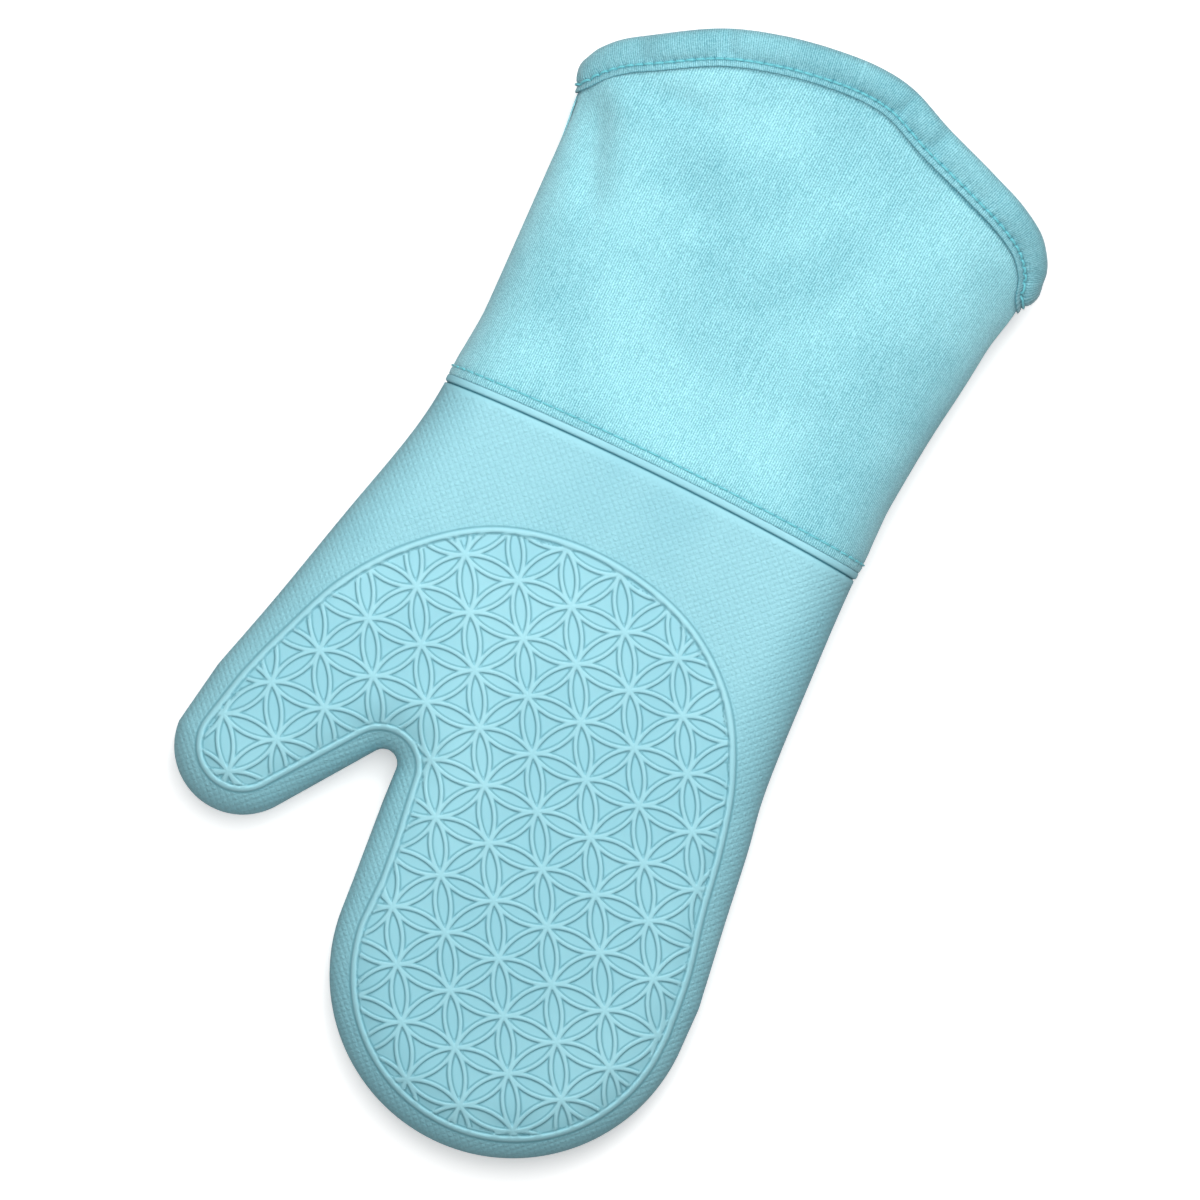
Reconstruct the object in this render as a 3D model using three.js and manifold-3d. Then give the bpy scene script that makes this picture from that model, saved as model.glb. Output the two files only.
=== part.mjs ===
// A silicone oven mitt lying on its back: a moulded silicone glove with a thumb, a canvas cuff sewn to
// its rim, a bound mouth, and a quilted lining that runs from the mouth to the fingertips.
// Millimetres, +Z up. The fingers point to -Y, the cuff opens to +Y, the thumb is on the -X side and the
// palm faces up. Z = 0 is the surface that the back of the mitt rests on.
import * as THREE from "three";
import { mergeVertices } from "three/addons/utils/BufferGeometryUtils.js";
import Module from "manifold-3d";

const wasm = await Module();
wasm.setup();

// ---------------------------------------------------------------- driving dimensions
const FINGER_TIP = { x: 36.6, y: -126.2, radius: 58.8 }; // the round end of the four-finger pocket
const THUMB_TIP = { x: -73.3, y: -98.2, radius: 22 }; // the round end of the thumb
const CROTCH = { x: -30.6, y: -83.4, radius: 4.6 }; // the notch between thumb and fingers
const MOUTH = { x: 11.8, y: 79.5, radius: 105.5 }; // the domed edge that both cuff panels are cut to
const SEAM = { x: 6.7, crown: 40.2, radius: 1160 }; // the shallow curve where the cuff meets the glove

const THICKNESS_AT_ORIGIN = 34; // height of the lying mitt at Y = 0
const THICKNESS_SLOPE = 0.055; // growth of that height per mm towards the mouth
const EDGE_ROLL = 16; // reach of the rounded side, from the outline in to the flat face
const SIDE_BAND = 2; // upright strip halfway up the rounded side
const ROLL_SEGMENTS = 3;
const ARC_SEGMENTS = { finger: 14, thumb: 9, crotch: 6, mouth: 26, seam: 10 };

const GAP = 0.3; // clearance between neighbouring layers

// Each layer lies between two depths, measured inwards from the outermost surface.
const LAYERS = {
  silicone: { from: 0, to: 2.4 },
  siliconeRim: { from: 0, to: 3.1 },
  sewingFlange: { from: 2.6, to: 3.1 },
  bindingThread: { from: 0, to: 0.5 },
  binding: { from: 0.8, to: 8.1 },
  bindingHollow: { from: 1.4, to: 7.5 },
  seamThread: { from: 0.8, to: 1.4 },
  canvas: { from: 1.7, to: 2.3 },
  wadding: { from: 3.4, to: 6.2 },
  lining: { from: 6.5, to: 7.2 },
};

const RIM_WIDTH = 4; // the thick moulded band at the open end of the glove
const FLANGE_LENGTH = 8; // silicone that runs on under the canvas for sewing
const BINDING_WIDTH = 10; // what the folded tape covers on each face
const BINDING_FOLD = 1.2; // tape thickness over the raw edges at the mouth
const THREAD_WIDTH = 0.6;
const SEAM_THREAD_AT = 3; // distance of the stitch line above the glove's rim
const BINDING_THREAD_AT = 7.6; // distance of the stitch line in from the mouth

// ---------------------------------------------------------------- outline seen from above
const point = (x, y) => new THREE.Vector2(x, y);

function arc({ x, y, radius }, startDegrees, endDegrees, clockwise, segments) {
  const start = THREE.MathUtils.degToRad(startDegrees);
  const end = THREE.MathUtils.degToRad(endDegrees);
  return new THREE.EllipseCurve(x, y, radius, radius, start, end, clockwise).getPoints(segments);
}

// Counter-clockwise from the top of the cuff's thumb side. The cuff sides run past the mouth, whose
// domed edge is cut afterwards.
function mittOutline() {
  const thumbSide = new THREE.SplineCurve([
    point(-76.5, 200),
    point(-71.5, 152),
    point(-67.9, 120),
    point(-66.3, 66),
    point(-66.6, 34),
    point(-77.1, -19),
    point(-85.2, -52),
    point(-94.6, -92),
  ]);
  const outerSide = new THREE.SplineCurve([
    point(95.2, -120),
    point(90.3, -80),
    point(83.6, -40),
    point(80.3, 10),
    point(79.5, 42),
    point(85.2, 106),
    point(93.2, 150),
    point(103, 200),
  ]);
  return [
    ...thumbSide.getPoints(16),
    ...arc(THUMB_TIP, 184, 325, false, ARC_SEGMENTS.thumb),
    ...arc(CROTCH, 145, 0, true, ARC_SEGMENTS.crotch),
    point(-24.2, -104),
    ...arc(FINGER_TIP, 186, 360, false, ARC_SEGMENTS.finger),
    ...outerSide.getPoints(16),
  ];
}

const OUTLINE = mittOutline();

// ---------------------------------------------------------------- solids
function toSolid(geometry) {
  const bare = geometry.clone();
  bare.deleteAttribute("normal");
  bare.deleteAttribute("uv");
  const merged = mergeVertices(bare, 1e-3);
  return new wasm.Manifold(
    new wasm.Mesh({
      numProp: 3,
      vertProperties: merged.attributes.position.array,
      triVerts: new Uint32Array(merged.index.array),
    }),
  );
}

function toGeometry(solid) {
  const mesh = solid.getMesh();
  const geometry = new THREE.BufferGeometry();
  geometry.setAttribute("position", new THREE.BufferAttribute(mesh.vertProperties, 3));
  geometry.setIndex(new THREE.BufferAttribute(mesh.triVerts, 1));
  geometry.computeVertexNormals();
  return geometry;
}

const thicknessAt = (y) => THICKNESS_AT_ORIGIN + THICKNESS_SLOPE * y;

// Tapers a geometry of even height, `depth` under the outermost surface, towards the fingertips.
function taper(geometry, depth) {
  const position = geometry.attributes.position;
  const evenHeight = THICKNESS_AT_ORIGIN - 2 * depth;
  for (let i = 0; i < position.count; i++) {
    const share = (position.getZ(i) - depth) / evenHeight;
    position.setZ(i, depth + share * (thicknessAt(position.getY(i)) - 2 * depth));
  }
  return geometry;
}

// The whole mitt as one filled cushion whose surface lies `depth` inside the outermost one.
const cushions = new Map();
function cushion(depth) {
  if (!cushions.has(depth)) {
    const roll = (THICKNESS_AT_ORIGIN - SIDE_BAND) / 2;
    const geometry = new THREE.ExtrudeGeometry(new THREE.Shape(OUTLINE), {
      depth: SIDE_BAND,
      bevelThickness: roll - depth,
      bevelSize: EDGE_ROLL - depth,
      bevelOffset: -EDGE_ROLL,
      bevelSegments: ROLL_SEGMENTS,
    });
    geometry.translate(0, 0, roll);
    cushions.set(depth, toSolid(taper(geometry, depth)));
  }
  return cushions.get(depth);
}

const layer = ({ from, to }) => cushion(from).subtract(cushion(to));

const PRISM = { halfWidth: 140, bottom: -220, height: 80 };

// Everything between the far end of the fingers and an edge that bulges towards +Y.
function prismUpTo(edgePoints) {
  const shape = new THREE.Shape([
    point(-PRISM.halfWidth, PRISM.bottom),
    point(PRISM.halfWidth, PRISM.bottom),
    point(PRISM.halfWidth, edgePoints[0].y),
    ...edgePoints,
    point(-PRISM.halfWidth, edgePoints[edgePoints.length - 1].y),
  ]);
  const geometry = new THREE.ExtrudeGeometry(shape, { depth: PRISM.height, bevelEnabled: false });
  geometry.translate(0, 0, -PRISM.height / 4);
  return toSolid(geometry);
}

// The side of the mouth's edge that holds the mitt, moved in by `inset` along the dome's radius.
function insideMouth(inset) {
  const dome = { ...MOUTH, radius: MOUTH.radius - inset };
  return prismUpTo(arc(dome, 12, 168, false, ARC_SEGMENTS.mouth));
}

// The side of the cuff seam that holds the fingers, moved towards the mouth by `offset`.
function belowSeam(offset) {
  const curve = { x: SEAM.x, y: SEAM.crown - SEAM.radius + offset, radius: SEAM.radius };
  return prismUpTo(arc(curve, 84.4, 95.6, false, ARC_SEGMENTS.seam));
}

// The palm half or the back half, parted in the middle of the mitt's height.
function half(side) {
  const height = PRISM.height;
  const geometry = new THREE.BoxGeometry(2 * PRISM.halfWidth, 2 * -PRISM.bottom, height);
  geometry.translate(0, 0, side * (height / 2 + GAP / 2) + THICKNESS_AT_ORIGIN / 2);
  return toSolid(taper(geometry, 0));
}

const PALM = half(1);
const BACK = half(-1);

// ---------------------------------------------------------------- sub-parts
function siliconeGlove() {
  const glove = layer(LAYERS.silicone).intersect(belowSeam(0));
  const rim = layer(LAYERS.siliconeRim).intersect(belowSeam(0)).subtract(belowSeam(-RIM_WIDTH));
  const flange = layer(LAYERS.sewingFlange)
    .intersect(belowSeam(FLANGE_LENGTH))
    .subtract(belowSeam(-RIM_WIDTH));
  return glove.add(rim).add(flange);
}

function cuffPanel(side) {
  return layer(LAYERS.canvas)
    .subtract(belowSeam(GAP))
    .intersect(insideMouth(BINDING_FOLD + GAP))
    .intersect(side);
}

function innerPanel(depths, side) {
  return layer(depths).intersect(insideMouth(BINDING_FOLD + GAP)).intersect(side);
}

// Tape folded over the mouth: a leg on the canvas, a leg on the lining and the fold that joins them.
function mouthBinding() {
  const band = layer(LAYERS.binding).intersect(insideMouth(0)).subtract(insideMouth(BINDING_WIDTH));
  return band.subtract(layer(LAYERS.bindingHollow).intersect(insideMouth(BINDING_FOLD)));
}

function seamThread() {
  return layer(LAYERS.seamThread)
    .intersect(belowSeam(SEAM_THREAD_AT + THREAD_WIDTH))
    .subtract(belowSeam(SEAM_THREAD_AT));
}

function bindingThread() {
  return layer(LAYERS.bindingThread)
    .intersect(insideMouth(BINDING_THREAD_AT))
    .subtract(insideMouth(BINDING_THREAD_AT + THREAD_WIDTH));
}

// ---------------------------------------------------------------- materials
function fabric(color, roughness) {
  return new THREE.MeshStandardMaterial({ color, roughness, metalness: 0 });
}

const SILICONE = { color: 0x93d3de, roughness: 0.55 };
const CANVAS = { color: 0x8ed8e2, roughness: 0.95 };
const TAPE = { color: 0x86cfd8, roughness: 0.95 };
const THREAD = { color: 0x5fb4bc, roughness: 0.8 };
const WADDING = { color: 0xf2f1ec, roughness: 1 };
const LINING = { color: 0xe9f3f2, roughness: 0.95 };

// ---------------------------------------------------------------- assembly
function part(name, solid, { color, roughness }) {
  const mesh = new THREE.Mesh(toGeometry(solid), fabric(color, roughness));
  mesh.name = name;
  return mesh;
}

const glove = new THREE.Group();
glove.add(part("silicone_glove", siliconeGlove(), SILICONE));

const cuff = new THREE.Group();
cuff.add(
  part("cuff_palm_panel", cuffPanel(PALM), CANVAS),
  part("cuff_back_panel", cuffPanel(BACK), CANVAS),
  part("cuff_seam_thread", seamThread(), THREAD),
);

const mouth = new THREE.Group();
mouth.add(
  part("mouth_binding", mouthBinding(), TAPE),
  part("binding_thread", bindingThread(), THREAD),
);

const inside = new THREE.Group();
inside.add(
  part("wadding_palm_panel", innerPanel(LAYERS.wadding, PALM), WADDING),
  part("wadding_back_panel", innerPanel(LAYERS.wadding, BACK), WADDING),
  part("lining_palm_panel", innerPanel(LAYERS.lining, PALM), LINING),
  part("lining_back_panel", innerPanel(LAYERS.lining, BACK), LINING),
);

const group = new THREE.Group();
group.add(glove, cuff, mouth, inside);

export default group;
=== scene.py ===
"""A silicone oven mitt lying palm up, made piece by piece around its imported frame.

The classes work in millimetres, in the frame's own axes: fingers to -Y, cuff mouth to +Y, thumb on the
-X side, palm up. Meshes are written in metres.
"""
import logging
import math
from dataclasses import dataclass, field
from enum import Enum
from typing import Callable

import bpy
import numpy as np
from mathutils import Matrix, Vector
from mathutils.geometry import delaunay_2d_cdt


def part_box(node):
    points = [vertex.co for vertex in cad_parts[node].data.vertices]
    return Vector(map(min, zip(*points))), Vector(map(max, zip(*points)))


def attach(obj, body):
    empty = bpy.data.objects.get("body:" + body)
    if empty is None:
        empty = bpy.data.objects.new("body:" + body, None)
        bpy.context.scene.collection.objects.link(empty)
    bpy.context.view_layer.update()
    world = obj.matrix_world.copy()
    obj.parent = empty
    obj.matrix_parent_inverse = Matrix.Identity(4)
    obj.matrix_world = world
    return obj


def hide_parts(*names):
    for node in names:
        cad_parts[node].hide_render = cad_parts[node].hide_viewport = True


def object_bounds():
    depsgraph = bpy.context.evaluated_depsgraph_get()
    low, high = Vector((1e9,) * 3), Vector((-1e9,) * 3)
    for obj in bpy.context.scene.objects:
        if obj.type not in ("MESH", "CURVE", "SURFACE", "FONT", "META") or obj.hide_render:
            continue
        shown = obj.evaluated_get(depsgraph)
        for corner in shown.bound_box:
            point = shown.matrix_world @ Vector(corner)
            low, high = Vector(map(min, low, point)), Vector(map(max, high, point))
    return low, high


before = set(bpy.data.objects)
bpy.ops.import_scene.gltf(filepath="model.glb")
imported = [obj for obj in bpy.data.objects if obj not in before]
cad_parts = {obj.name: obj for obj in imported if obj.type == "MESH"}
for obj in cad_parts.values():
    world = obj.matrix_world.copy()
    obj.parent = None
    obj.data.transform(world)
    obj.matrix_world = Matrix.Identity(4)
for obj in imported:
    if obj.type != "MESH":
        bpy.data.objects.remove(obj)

LOG = logging.getLogger("oven_mitt")
CAD_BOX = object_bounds()
MM = 0.001
MERGE = 0.004  # vertices closer than this become one, in millimetres
BODY = "root"
STITCH_MIDDLE = 0.33  # where the shown part of a stitch has its middle, as a share of the pitch

Array = np.ndarray


class Side(Enum):
    """The two faces of the lying mitt, with the sign of their height."""

    PALM = 1
    BACK = -1


class Slot(Enum):
    """Names for the kinds of finish."""

    SILICONE = "silicone"
    CANVAS = "canvas"
    TAPE = "tape"
    THREAD = "thread"
    WADDING = "wadding"
    LINING = "lining"


# ------------------------------------------------------------------ curves and small maths


def frame_box(node: str) -> tuple[Array, Array]:
    """Lowest and highest corner of a frame node in millimetres."""
    low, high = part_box(node)
    return np.array(low) / MM, np.array(high) / MM


def unit(vectors: Array) -> Array:
    """The same vectors with a length of 1."""
    return vectors / np.linalg.norm(vectors, axis=-1, keepdims=True)


def closed(loop: Array) -> Array:
    """A loop of points with its first one repeated at the end."""
    return np.vstack((loop, loop[:1]))


def soften(loop: Array, axis: int) -> Array:
    """Values round a loop, each mixed with its two neighbours."""
    return (np.roll(loop, 1, axis=axis) + 2 * loop + np.roll(loop, -1, axis=axis)) / 4


def bell(value: Array, middle: float, width: float) -> Array:
    """1 at the middle, falling off on both sides over about the width."""
    return np.exp(-(((value - middle) / width) ** 2))


def path_length(points: Array) -> Array:
    """Distance travelled along a polyline up to each of its points."""
    return np.concatenate(([0], np.cumsum(np.linalg.norm(np.diff(points, axis=0), axis=1))))


def at_lengths(at: Array, length: Array, points: Array) -> Array:
    """Points of a polyline at given distances along it, from its own travelled length."""
    return np.column_stack([np.interp(at, length, column) for column in points.T])


def smooth_step(value: Array, low: float, high: float) -> Array:
    """0 below low, 1 above high, and a smooth rise between them."""
    share = np.clip((np.asarray(value, float) - low) / (high - low), 0, 1)
    return share * share * (3 - 2 * share)


def resample(points: Array, spacing: float) -> Array:
    """Evenly spaced points along an open polyline.

    Args:
        points: The polyline, one row for each point.
        spacing: Wanted distance between neighbours.

    Returns:
        Points from the first to the last of the polyline.
    """
    length = path_length(points)
    count = max(2, int(round(length[-1] / spacing)) + 1)
    return at_lengths(np.linspace(0, length[-1], count), length, points)


def smooth_curve(knots: list[tuple[float, float]], per_span: int = 24) -> Array:
    """A smooth curve through given knots.

    Args:
        knots: Points of the curve in order.
        per_span: Samples between two knots.

    Returns:
        Sampled points of the curve.
    """
    p = np.array(knots, float)
    t = np.concatenate(([0], np.cumsum(np.sqrt(np.linalg.norm(np.diff(p, axis=0), axis=1)))))
    slope = np.diff(p, axis=0) / np.diff(t)[:, None]
    gaps = np.diff(t)[:, None]
    tangent = np.vstack((
        slope[:1],
        (gaps[1:] * slope[:-1] + gaps[:-1] * slope[1:]) / (gaps[1:] + gaps[:-1]),
        slope[-1:],
    ))
    rows = []
    for i, gap in enumerate(gaps[:, 0]):
        s = np.linspace(0, 1, per_span, endpoint=False)[:, None]
        rows.append(
            (1 + 2 * s) * (1 - s) ** 2 * p[i]
            + s * (1 - s) ** 2 * gap * tangent[i]
            + s * s * (3 - 2 * s) * p[i + 1]
            + s * s * (s - 1) * gap * tangent[i + 1]
        )
    return np.vstack((*rows, p[-1:]))


def outward(points: Array) -> Array:
    """Unit normals to the right of an open polyline's direction of travel."""
    along = unit(np.gradient(points, axis=0))
    return np.column_stack((along[:, 1], -along[:, 0]))


def gap_to_line(points: Array, line: Array, chunk: int = 4000) -> Array:
    """Distance of each point to an open polyline.

    Args:
        points: Places in the plan.
        line: The polyline.
        chunk: How many points are handled at once.

    Returns:
        The distances.
    """
    start, step = line[:-1], np.diff(line, axis=0)
    gaps = np.empty(len(points))
    for first in range(0, len(points), chunk):
        part = points[first : first + chunk, None, :]
        share = np.clip(((part - start) * step).sum(2) / (step * step).sum(1), 0, 1)
        gaps[first : first + chunk] = np.linalg.norm(part - start - share[..., None] * step, axis=2).min(1)
    return gaps


def points_inside(points: Array, polygon: Array) -> Array:
    """Which points lie inside a polygon.

    Args:
        points: Places in the plan.
        polygon: The polygon's corners in order.

    Returns:
        True or False for each point.
    """
    x, y = points.T
    inside = np.zeros(len(points), bool)
    for (ax, ay), (bx, by) in zip(polygon, np.roll(polygon, -1, axis=0)):
        crosses = (ay > y) != (by > y)
        if crosses.any():
            inside ^= crosses & (x < ax + (y - ay) * (bx - ax) / (by - ay))
    return inside


def lattice(low: float, high: float, step: float, half_width: float = 100.0) -> Array:
    """An even triangular lattice of points in the plan.

    Args:
        low: Y of the first row.
        high: Y that the last row stays below.
        step: Distance between neighbours.
        half_width: How far the rows reach to either side.

    Returns:
        The points, row by row.
    """
    rows = []
    for number, y in enumerate(np.arange(low, high, step * math.sqrt(3) / 2)):
        x = np.arange(-half_width, half_width, step) + (number % 2) * step / 2
        rows.append(np.column_stack((x, np.full_like(x, y))))
    return np.vstack(rows)


@dataclass(frozen=True)
class Arc:
    """A circle seen from above, whose arcs round off an outline."""

    x: float
    y: float
    radius: float

    def sweep(self, start: float, end: float, count: int) -> Array:
        """Points from one angle to another, in degrees."""
        angle = np.radians(np.linspace(start, end, count))
        return np.array((self.x, self.y)) + self.radius * np.column_stack((np.cos(angle), np.sin(angle)))


# ------------------------------------------------------------------ the mitt's form


@dataclass
class MittForm:
    """The outer form that every layer follows: an outline from above and a rounded height over it."""

    fingertip: Arc = Arc(36.6, -126.2, 58.8)
    thumb_tip: Arc = Arc(-73.3, -98.2, 22.0)
    crotch: Arc = Arc(-30.6, -83.4, 4.6)
    tip_thickness: float = 24.5
    equator_share: float = 0.43
    glove_roll: float = 19.5
    back_roll: float = 15.0
    mouth_roll_gain: float = 34.0
    back_gain_share: float = 0.4
    opens_from: float = 30.0
    opens_to: float = 175.0
    thumb_top: float = -40.0
    seam_sag: float = 2.3
    spacing: float = 1.2
    turn_step: float = 0.01
    way_step: float = 0.004
    half_turn_samples: int = 1440
    thumb_side: list[tuple[float, float]] = field(default_factory=lambda: [
        (-75, 210), (-70.6, 160), (-69.1, 142), (-68.4, 123), (-67.3, 93), (-66.2, 58), (-66.1, 36),
        (-68.0, 19), (-77.1, -19), (-85.0, -52), (-92.2, -79),
    ])
    outer_side: list[tuple[float, float]] = field(default_factory=lambda: [
        (94.9, -110), (90.2, -80), (87.0, -58), (83.8, -40), (81.0, -1), (79.4, 36), (80.0, 48),
        (82.7, 84), (85.4, 106), (87.6, 128), (90.0, 145), (93, 160), (98, 210),
    ])
    mouth_knots: list[tuple[float, float]] = field(default_factory=lambda: [
        (-69.2, 147), (-66.6, 152), (-61, 157.4), (-52.5, 162.6), (-34, 173.2), (-16.4, 179),
        (0, 182.2), (15.4, 183.4), (27, 182), (43, 175.6), (61.4, 169.4), (76, 164), (85, 158.6),
        (89.6, 152), (90.6, 145.5),
    ])

    def __post_init__(self) -> None:
        """Reads the seam and the heights from the frame and samples the outline."""
        glove_low, glove_high = frame_box("silicone_glove")
        panel_low, _ = frame_box("cuff_palm_panel")
        _, binding_high = frame_box("mouth_binding")
        self.tip_y = glove_low[1]
        self.mouth_y = binding_high[1]
        self.mouth_thickness = CAD_BOX[1][2] / MM
        self.seam_crown = panel_low[1] + self.seam_sag
        self.outline = self._outline()
        mouth = smooth_curve(self.mouth_knots)
        middle, half = (mouth[-1, 0] + mouth[0, 0]) / 2, (mouth[-1, 0] - mouth[0, 0]) / 2
        self._mouth_share = np.clip((mouth[:, 0] - middle) / half, -1, 1)
        self._mouth_height = mouth[:, 1]
        self._split = int(np.argmin(self.outline[:, 1]))

    def _outline(self) -> Array:
        """The outline from the cuff's thumb side round the fingers to the cuff's outer side.

        Returns:
            Evenly spaced points.
        """
        parts = (
            smooth_curve(self.thumb_side)[:-1],
            self.thumb_tip.sweep(184, 325, 40),
            self.crotch.sweep(145, 0, 16),
            smooth_curve([(-25.4, -93), (-24.2, -106), (-22.9, -120)]),
            self.fingertip.sweep(186, 360, 80),
            smooth_curve(self.outer_side),
        )
        return resample(np.vstack(parts), self.spacing)

    def side_x(self, y: Array, left: bool) -> Array:
        """X of the cuff's side at heights above the thumb.

        Args:
            y: The heights.
            left: True for the thumb side, False for the outer side.

        Returns:
            X for each height.
        """
        rows = self.outline[: self._split] if left else self.outline[self._split :]
        rows = rows[rows[:, 1] > self.thumb_top]
        order = np.argsort(rows[:, 1])
        return np.interp(y, rows[order, 1], rows[order, 0])

    def inset(self, points: Array) -> Array:
        """Distance of each point to the outline."""
        return gap_to_line(points, self.outline)

    def thickness(self, y: Array) -> Array:
        """Height of the lying mitt at y."""
        share = (np.asarray(y) - self.tip_y) / (self.mouth_y - self.tip_y)
        return self.tip_thickness + share * (self.mouth_thickness - self.tip_thickness)

    def equator(self, y: Array) -> Array:
        """Height of the widest line, where palm and back meet."""
        return self.equator_share * self.thickness(y)

    def height(self, points: Array, inset: Array, side: Side, depth: float | Array = 0.0) -> Array:
        """Height of a layer over points of the plan.

        Args:
            points: Places in the plan.
            inset: Their distance to the outline.
            side: Palm or back.
            depth: How far the layer lies inside the outermost surface.

        Returns:
            Z for each point.
        """
        y = points[:, 1]
        equator = self.equator(y)
        opening = smooth_step(y, self.opens_from, self.opens_to)
        if side is Side.PALM:
            roll = self.glove_roll + self.mouth_roll_gain * opening
            reach = self.thickness(y) - equator - depth + self.swell(points)
        else:
            roll = self.back_roll + self.back_gain_share * self.mouth_roll_gain * opening
            reach = equator - depth
        share = np.clip((inset - depth) / (roll - depth), 0, 1)
        return equator + side.value * reach * np.sqrt(1 - (1 - share) ** 2)

    def swell(self, points: Array) -> Array:
        """Slow unevenness of the soft palm face."""
        x, y = points[:, 0], points[:, 1]
        return 0.45 * np.sin(x / 26 + 0.6) * np.sin(y / 39 + 0.9) - 0.35 + 0.25 * np.cos((x - y) / 47)

    def section(self, phi: Array, v: Array, depth: float = 0.0) -> Array:
        """Points on the cuff's tube.

        Args:
            phi: Angle round the tube: 0 at the outer side, a quarter turn at the middle of the palm.
            v: 0 at the seam and 1 at the mouth, a little beyond on either side if need be.
            depth: How far inside the outermost surface, by the nested heights.

        Returns:
            Points in three dimensions.
        """
        phi, v = np.broadcast_arrays(np.asarray(phi, float), np.asarray(v, float))
        c = np.cos(phi)
        seam_side = self.seam_crown - self.seam_sag
        left = self.side_x(seam_side + v * (self._mouth_height[0] - seam_side), True)
        right = self.side_x(seam_side + v * (self._mouth_height[-1] - seam_side), False)
        half = (right - left) / 2
        x = (left + right) / 2 + half * c
        seam = self.seam_crown - self.seam_sag * c * c
        y = seam + v * (np.interp(c, self._mouth_share, self._mouth_height) - seam)
        flat = np.column_stack((x.ravel(), y.ravel()))
        inset = (half * (1 - np.abs(c))).ravel()
        upper = self.height(flat, inset, Side.PALM, depth)
        lower = self.height(flat, inset, Side.BACK, depth)
        z = np.where(np.sin(phi).ravel() >= 0, upper, lower).reshape(x.shape)
        return np.stack((x, y, z), axis=-1)

    def cuff_length(self, phi: Array) -> Array:
        """Distance along Y from the seam to the mouth."""
        c = np.cos(phi)
        return np.interp(c, self._mouth_share, self._mouth_height) - (self.seam_crown - self.seam_sag * c * c)

    def slopes(self, phi: Array, v: Array) -> tuple[Array, Array]:
        """How far a point of the cuff moves over a small turn, and over a small way to the mouth."""
        turned = self.section(phi + self.turn_step, v) - self.section(phi - self.turn_step, v)
        return turned, self.section(phi, v + self.way_step) - self.section(phi, v - self.way_step)

    def frames(self, phi: Array, v: Array) -> tuple[Array, Array, Array]:
        """Places on the cuff with their own directions.

        Args:
            phi: Angles round the tube.
            v: Places along it.

        Returns:
            Points, outward normals and directions towards the mouth.
        """
        around, along = self.slopes(phi, v)
        normal = unit(np.cross(along, around))
        along = unit(along - (along * normal).sum(-1, keepdims=True) * normal)
        return self.section(phi, v), normal, along

    def loop_angles(self, v: float, spacing: float) -> tuple[Array, int]:
        """Angles that step evenly round the tube at v.

        Args:
            v: Place along the cuff.
            spacing: Wanted distance between neighbours.

        Returns:
            The angles, without the closing one, and the number of the one at the thumb side.
        """
        angles = []
        for start in (0.0, np.pi):
            phi = np.linspace(start, start + np.pi, self.half_turn_samples + 1)
            length = path_length(self.section(phi, v))
            count = int(round(length[-1] / spacing))
            angles.append(np.interp(np.arange(count) * length[-1] / count, length, phi))
        return np.concatenate(angles), len(angles[0])

    def arc_length(self, phi: Array, v: float) -> Array:
        """Distance round the tube from the middle of the palm, positive to the thumb side.

        Args:
            phi: Angles round the tube.
            v: Place along it.

        Returns:
            The distance of each angle.
        """
        fine = np.linspace(0, 2 * np.pi, 2 * self.half_turn_samples + 1)
        length = path_length(self.section(fine, v))
        return np.interp(phi, fine, length) - np.interp(np.pi / 2, fine, length)


# ------------------------------------------------------------------ meshes


@dataclass
class Sheet3D:
    """Vertices, faces and named values at the vertices of a mesh in the making."""

    vertices: Array
    faces: list[tuple[int, ...]]
    values: dict[str, Array] = field(default_factory=dict)

    def joined(self, other: "Sheet3D") -> "Sheet3D":
        """This mesh and another as one.

        Args:
            other: The mesh to add. Named values that one of the two lacks are 0 there.

        Returns:
            The joined mesh.
        """
        start = len(self.vertices)
        faces = self.faces + [tuple(i + start for i in face) for face in other.faces]
        values = {}
        for name in {**self.values, **other.values}:
            width = (self.values if name in self.values else other.values)[name].shape[1:]
            mine = self.values.get(name, np.zeros((start, *width)))
            theirs = other.values.get(name, np.zeros((len(other.vertices), *width)))
            values[name] = np.concatenate((mine, theirs))
        return Sheet3D(np.vstack((self.vertices, other.vertices)), faces, values)

    def flipped(self) -> "Sheet3D":
        """The same mesh facing the other way."""
        return Sheet3D(self.vertices, [face[::-1] for face in self.faces], self.values)


def make_object(name: str, sheet: Sheet3D, merge: float = MERGE) -> bpy.types.Object:
    """Writes a smooth-shaded mesh object in metres.

    Args:
        name: The object's name.
        sheet: The mesh in millimetres.
        merge: Distance under which vertices become one, in millimetres.

    Returns:
        The linked object.
    """
    keys = np.round(sheet.vertices / merge).astype(np.int64)
    _, first, inverse = np.unique(keys, axis=0, return_index=True, return_inverse=True)
    inverse = inverse.reshape(-1)
    faces = []
    for face in sheet.faces:
        merged = [int(inverse[i]) for i in face]
        ring = [i for k, i in enumerate(merged) if i != merged[k - 1]]
        if len(set(ring)) == len(ring) and len(ring) > 2:
            faces.append(ring)
    mesh = bpy.data.meshes.new(name)
    mesh.from_pydata((sheet.vertices[first] * MM).tolist(), [], faces)
    mesh.validate()
    for key, value in sheet.values.items():
        kind, slot = ("FLOAT", "value") if value.ndim == 1 else ("FLOAT_VECTOR", "vector")
        layer = mesh.attributes.new(key, kind, "POINT")
        layer.data.foreach_set(slot, value[first].astype(np.float32).ravel())
    mesh.polygons.foreach_set("use_smooth", [True] * len(mesh.polygons))
    mesh.update()
    made = bpy.data.objects.new(name, mesh)
    bpy.context.scene.collection.objects.link(made)
    return made


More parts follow.
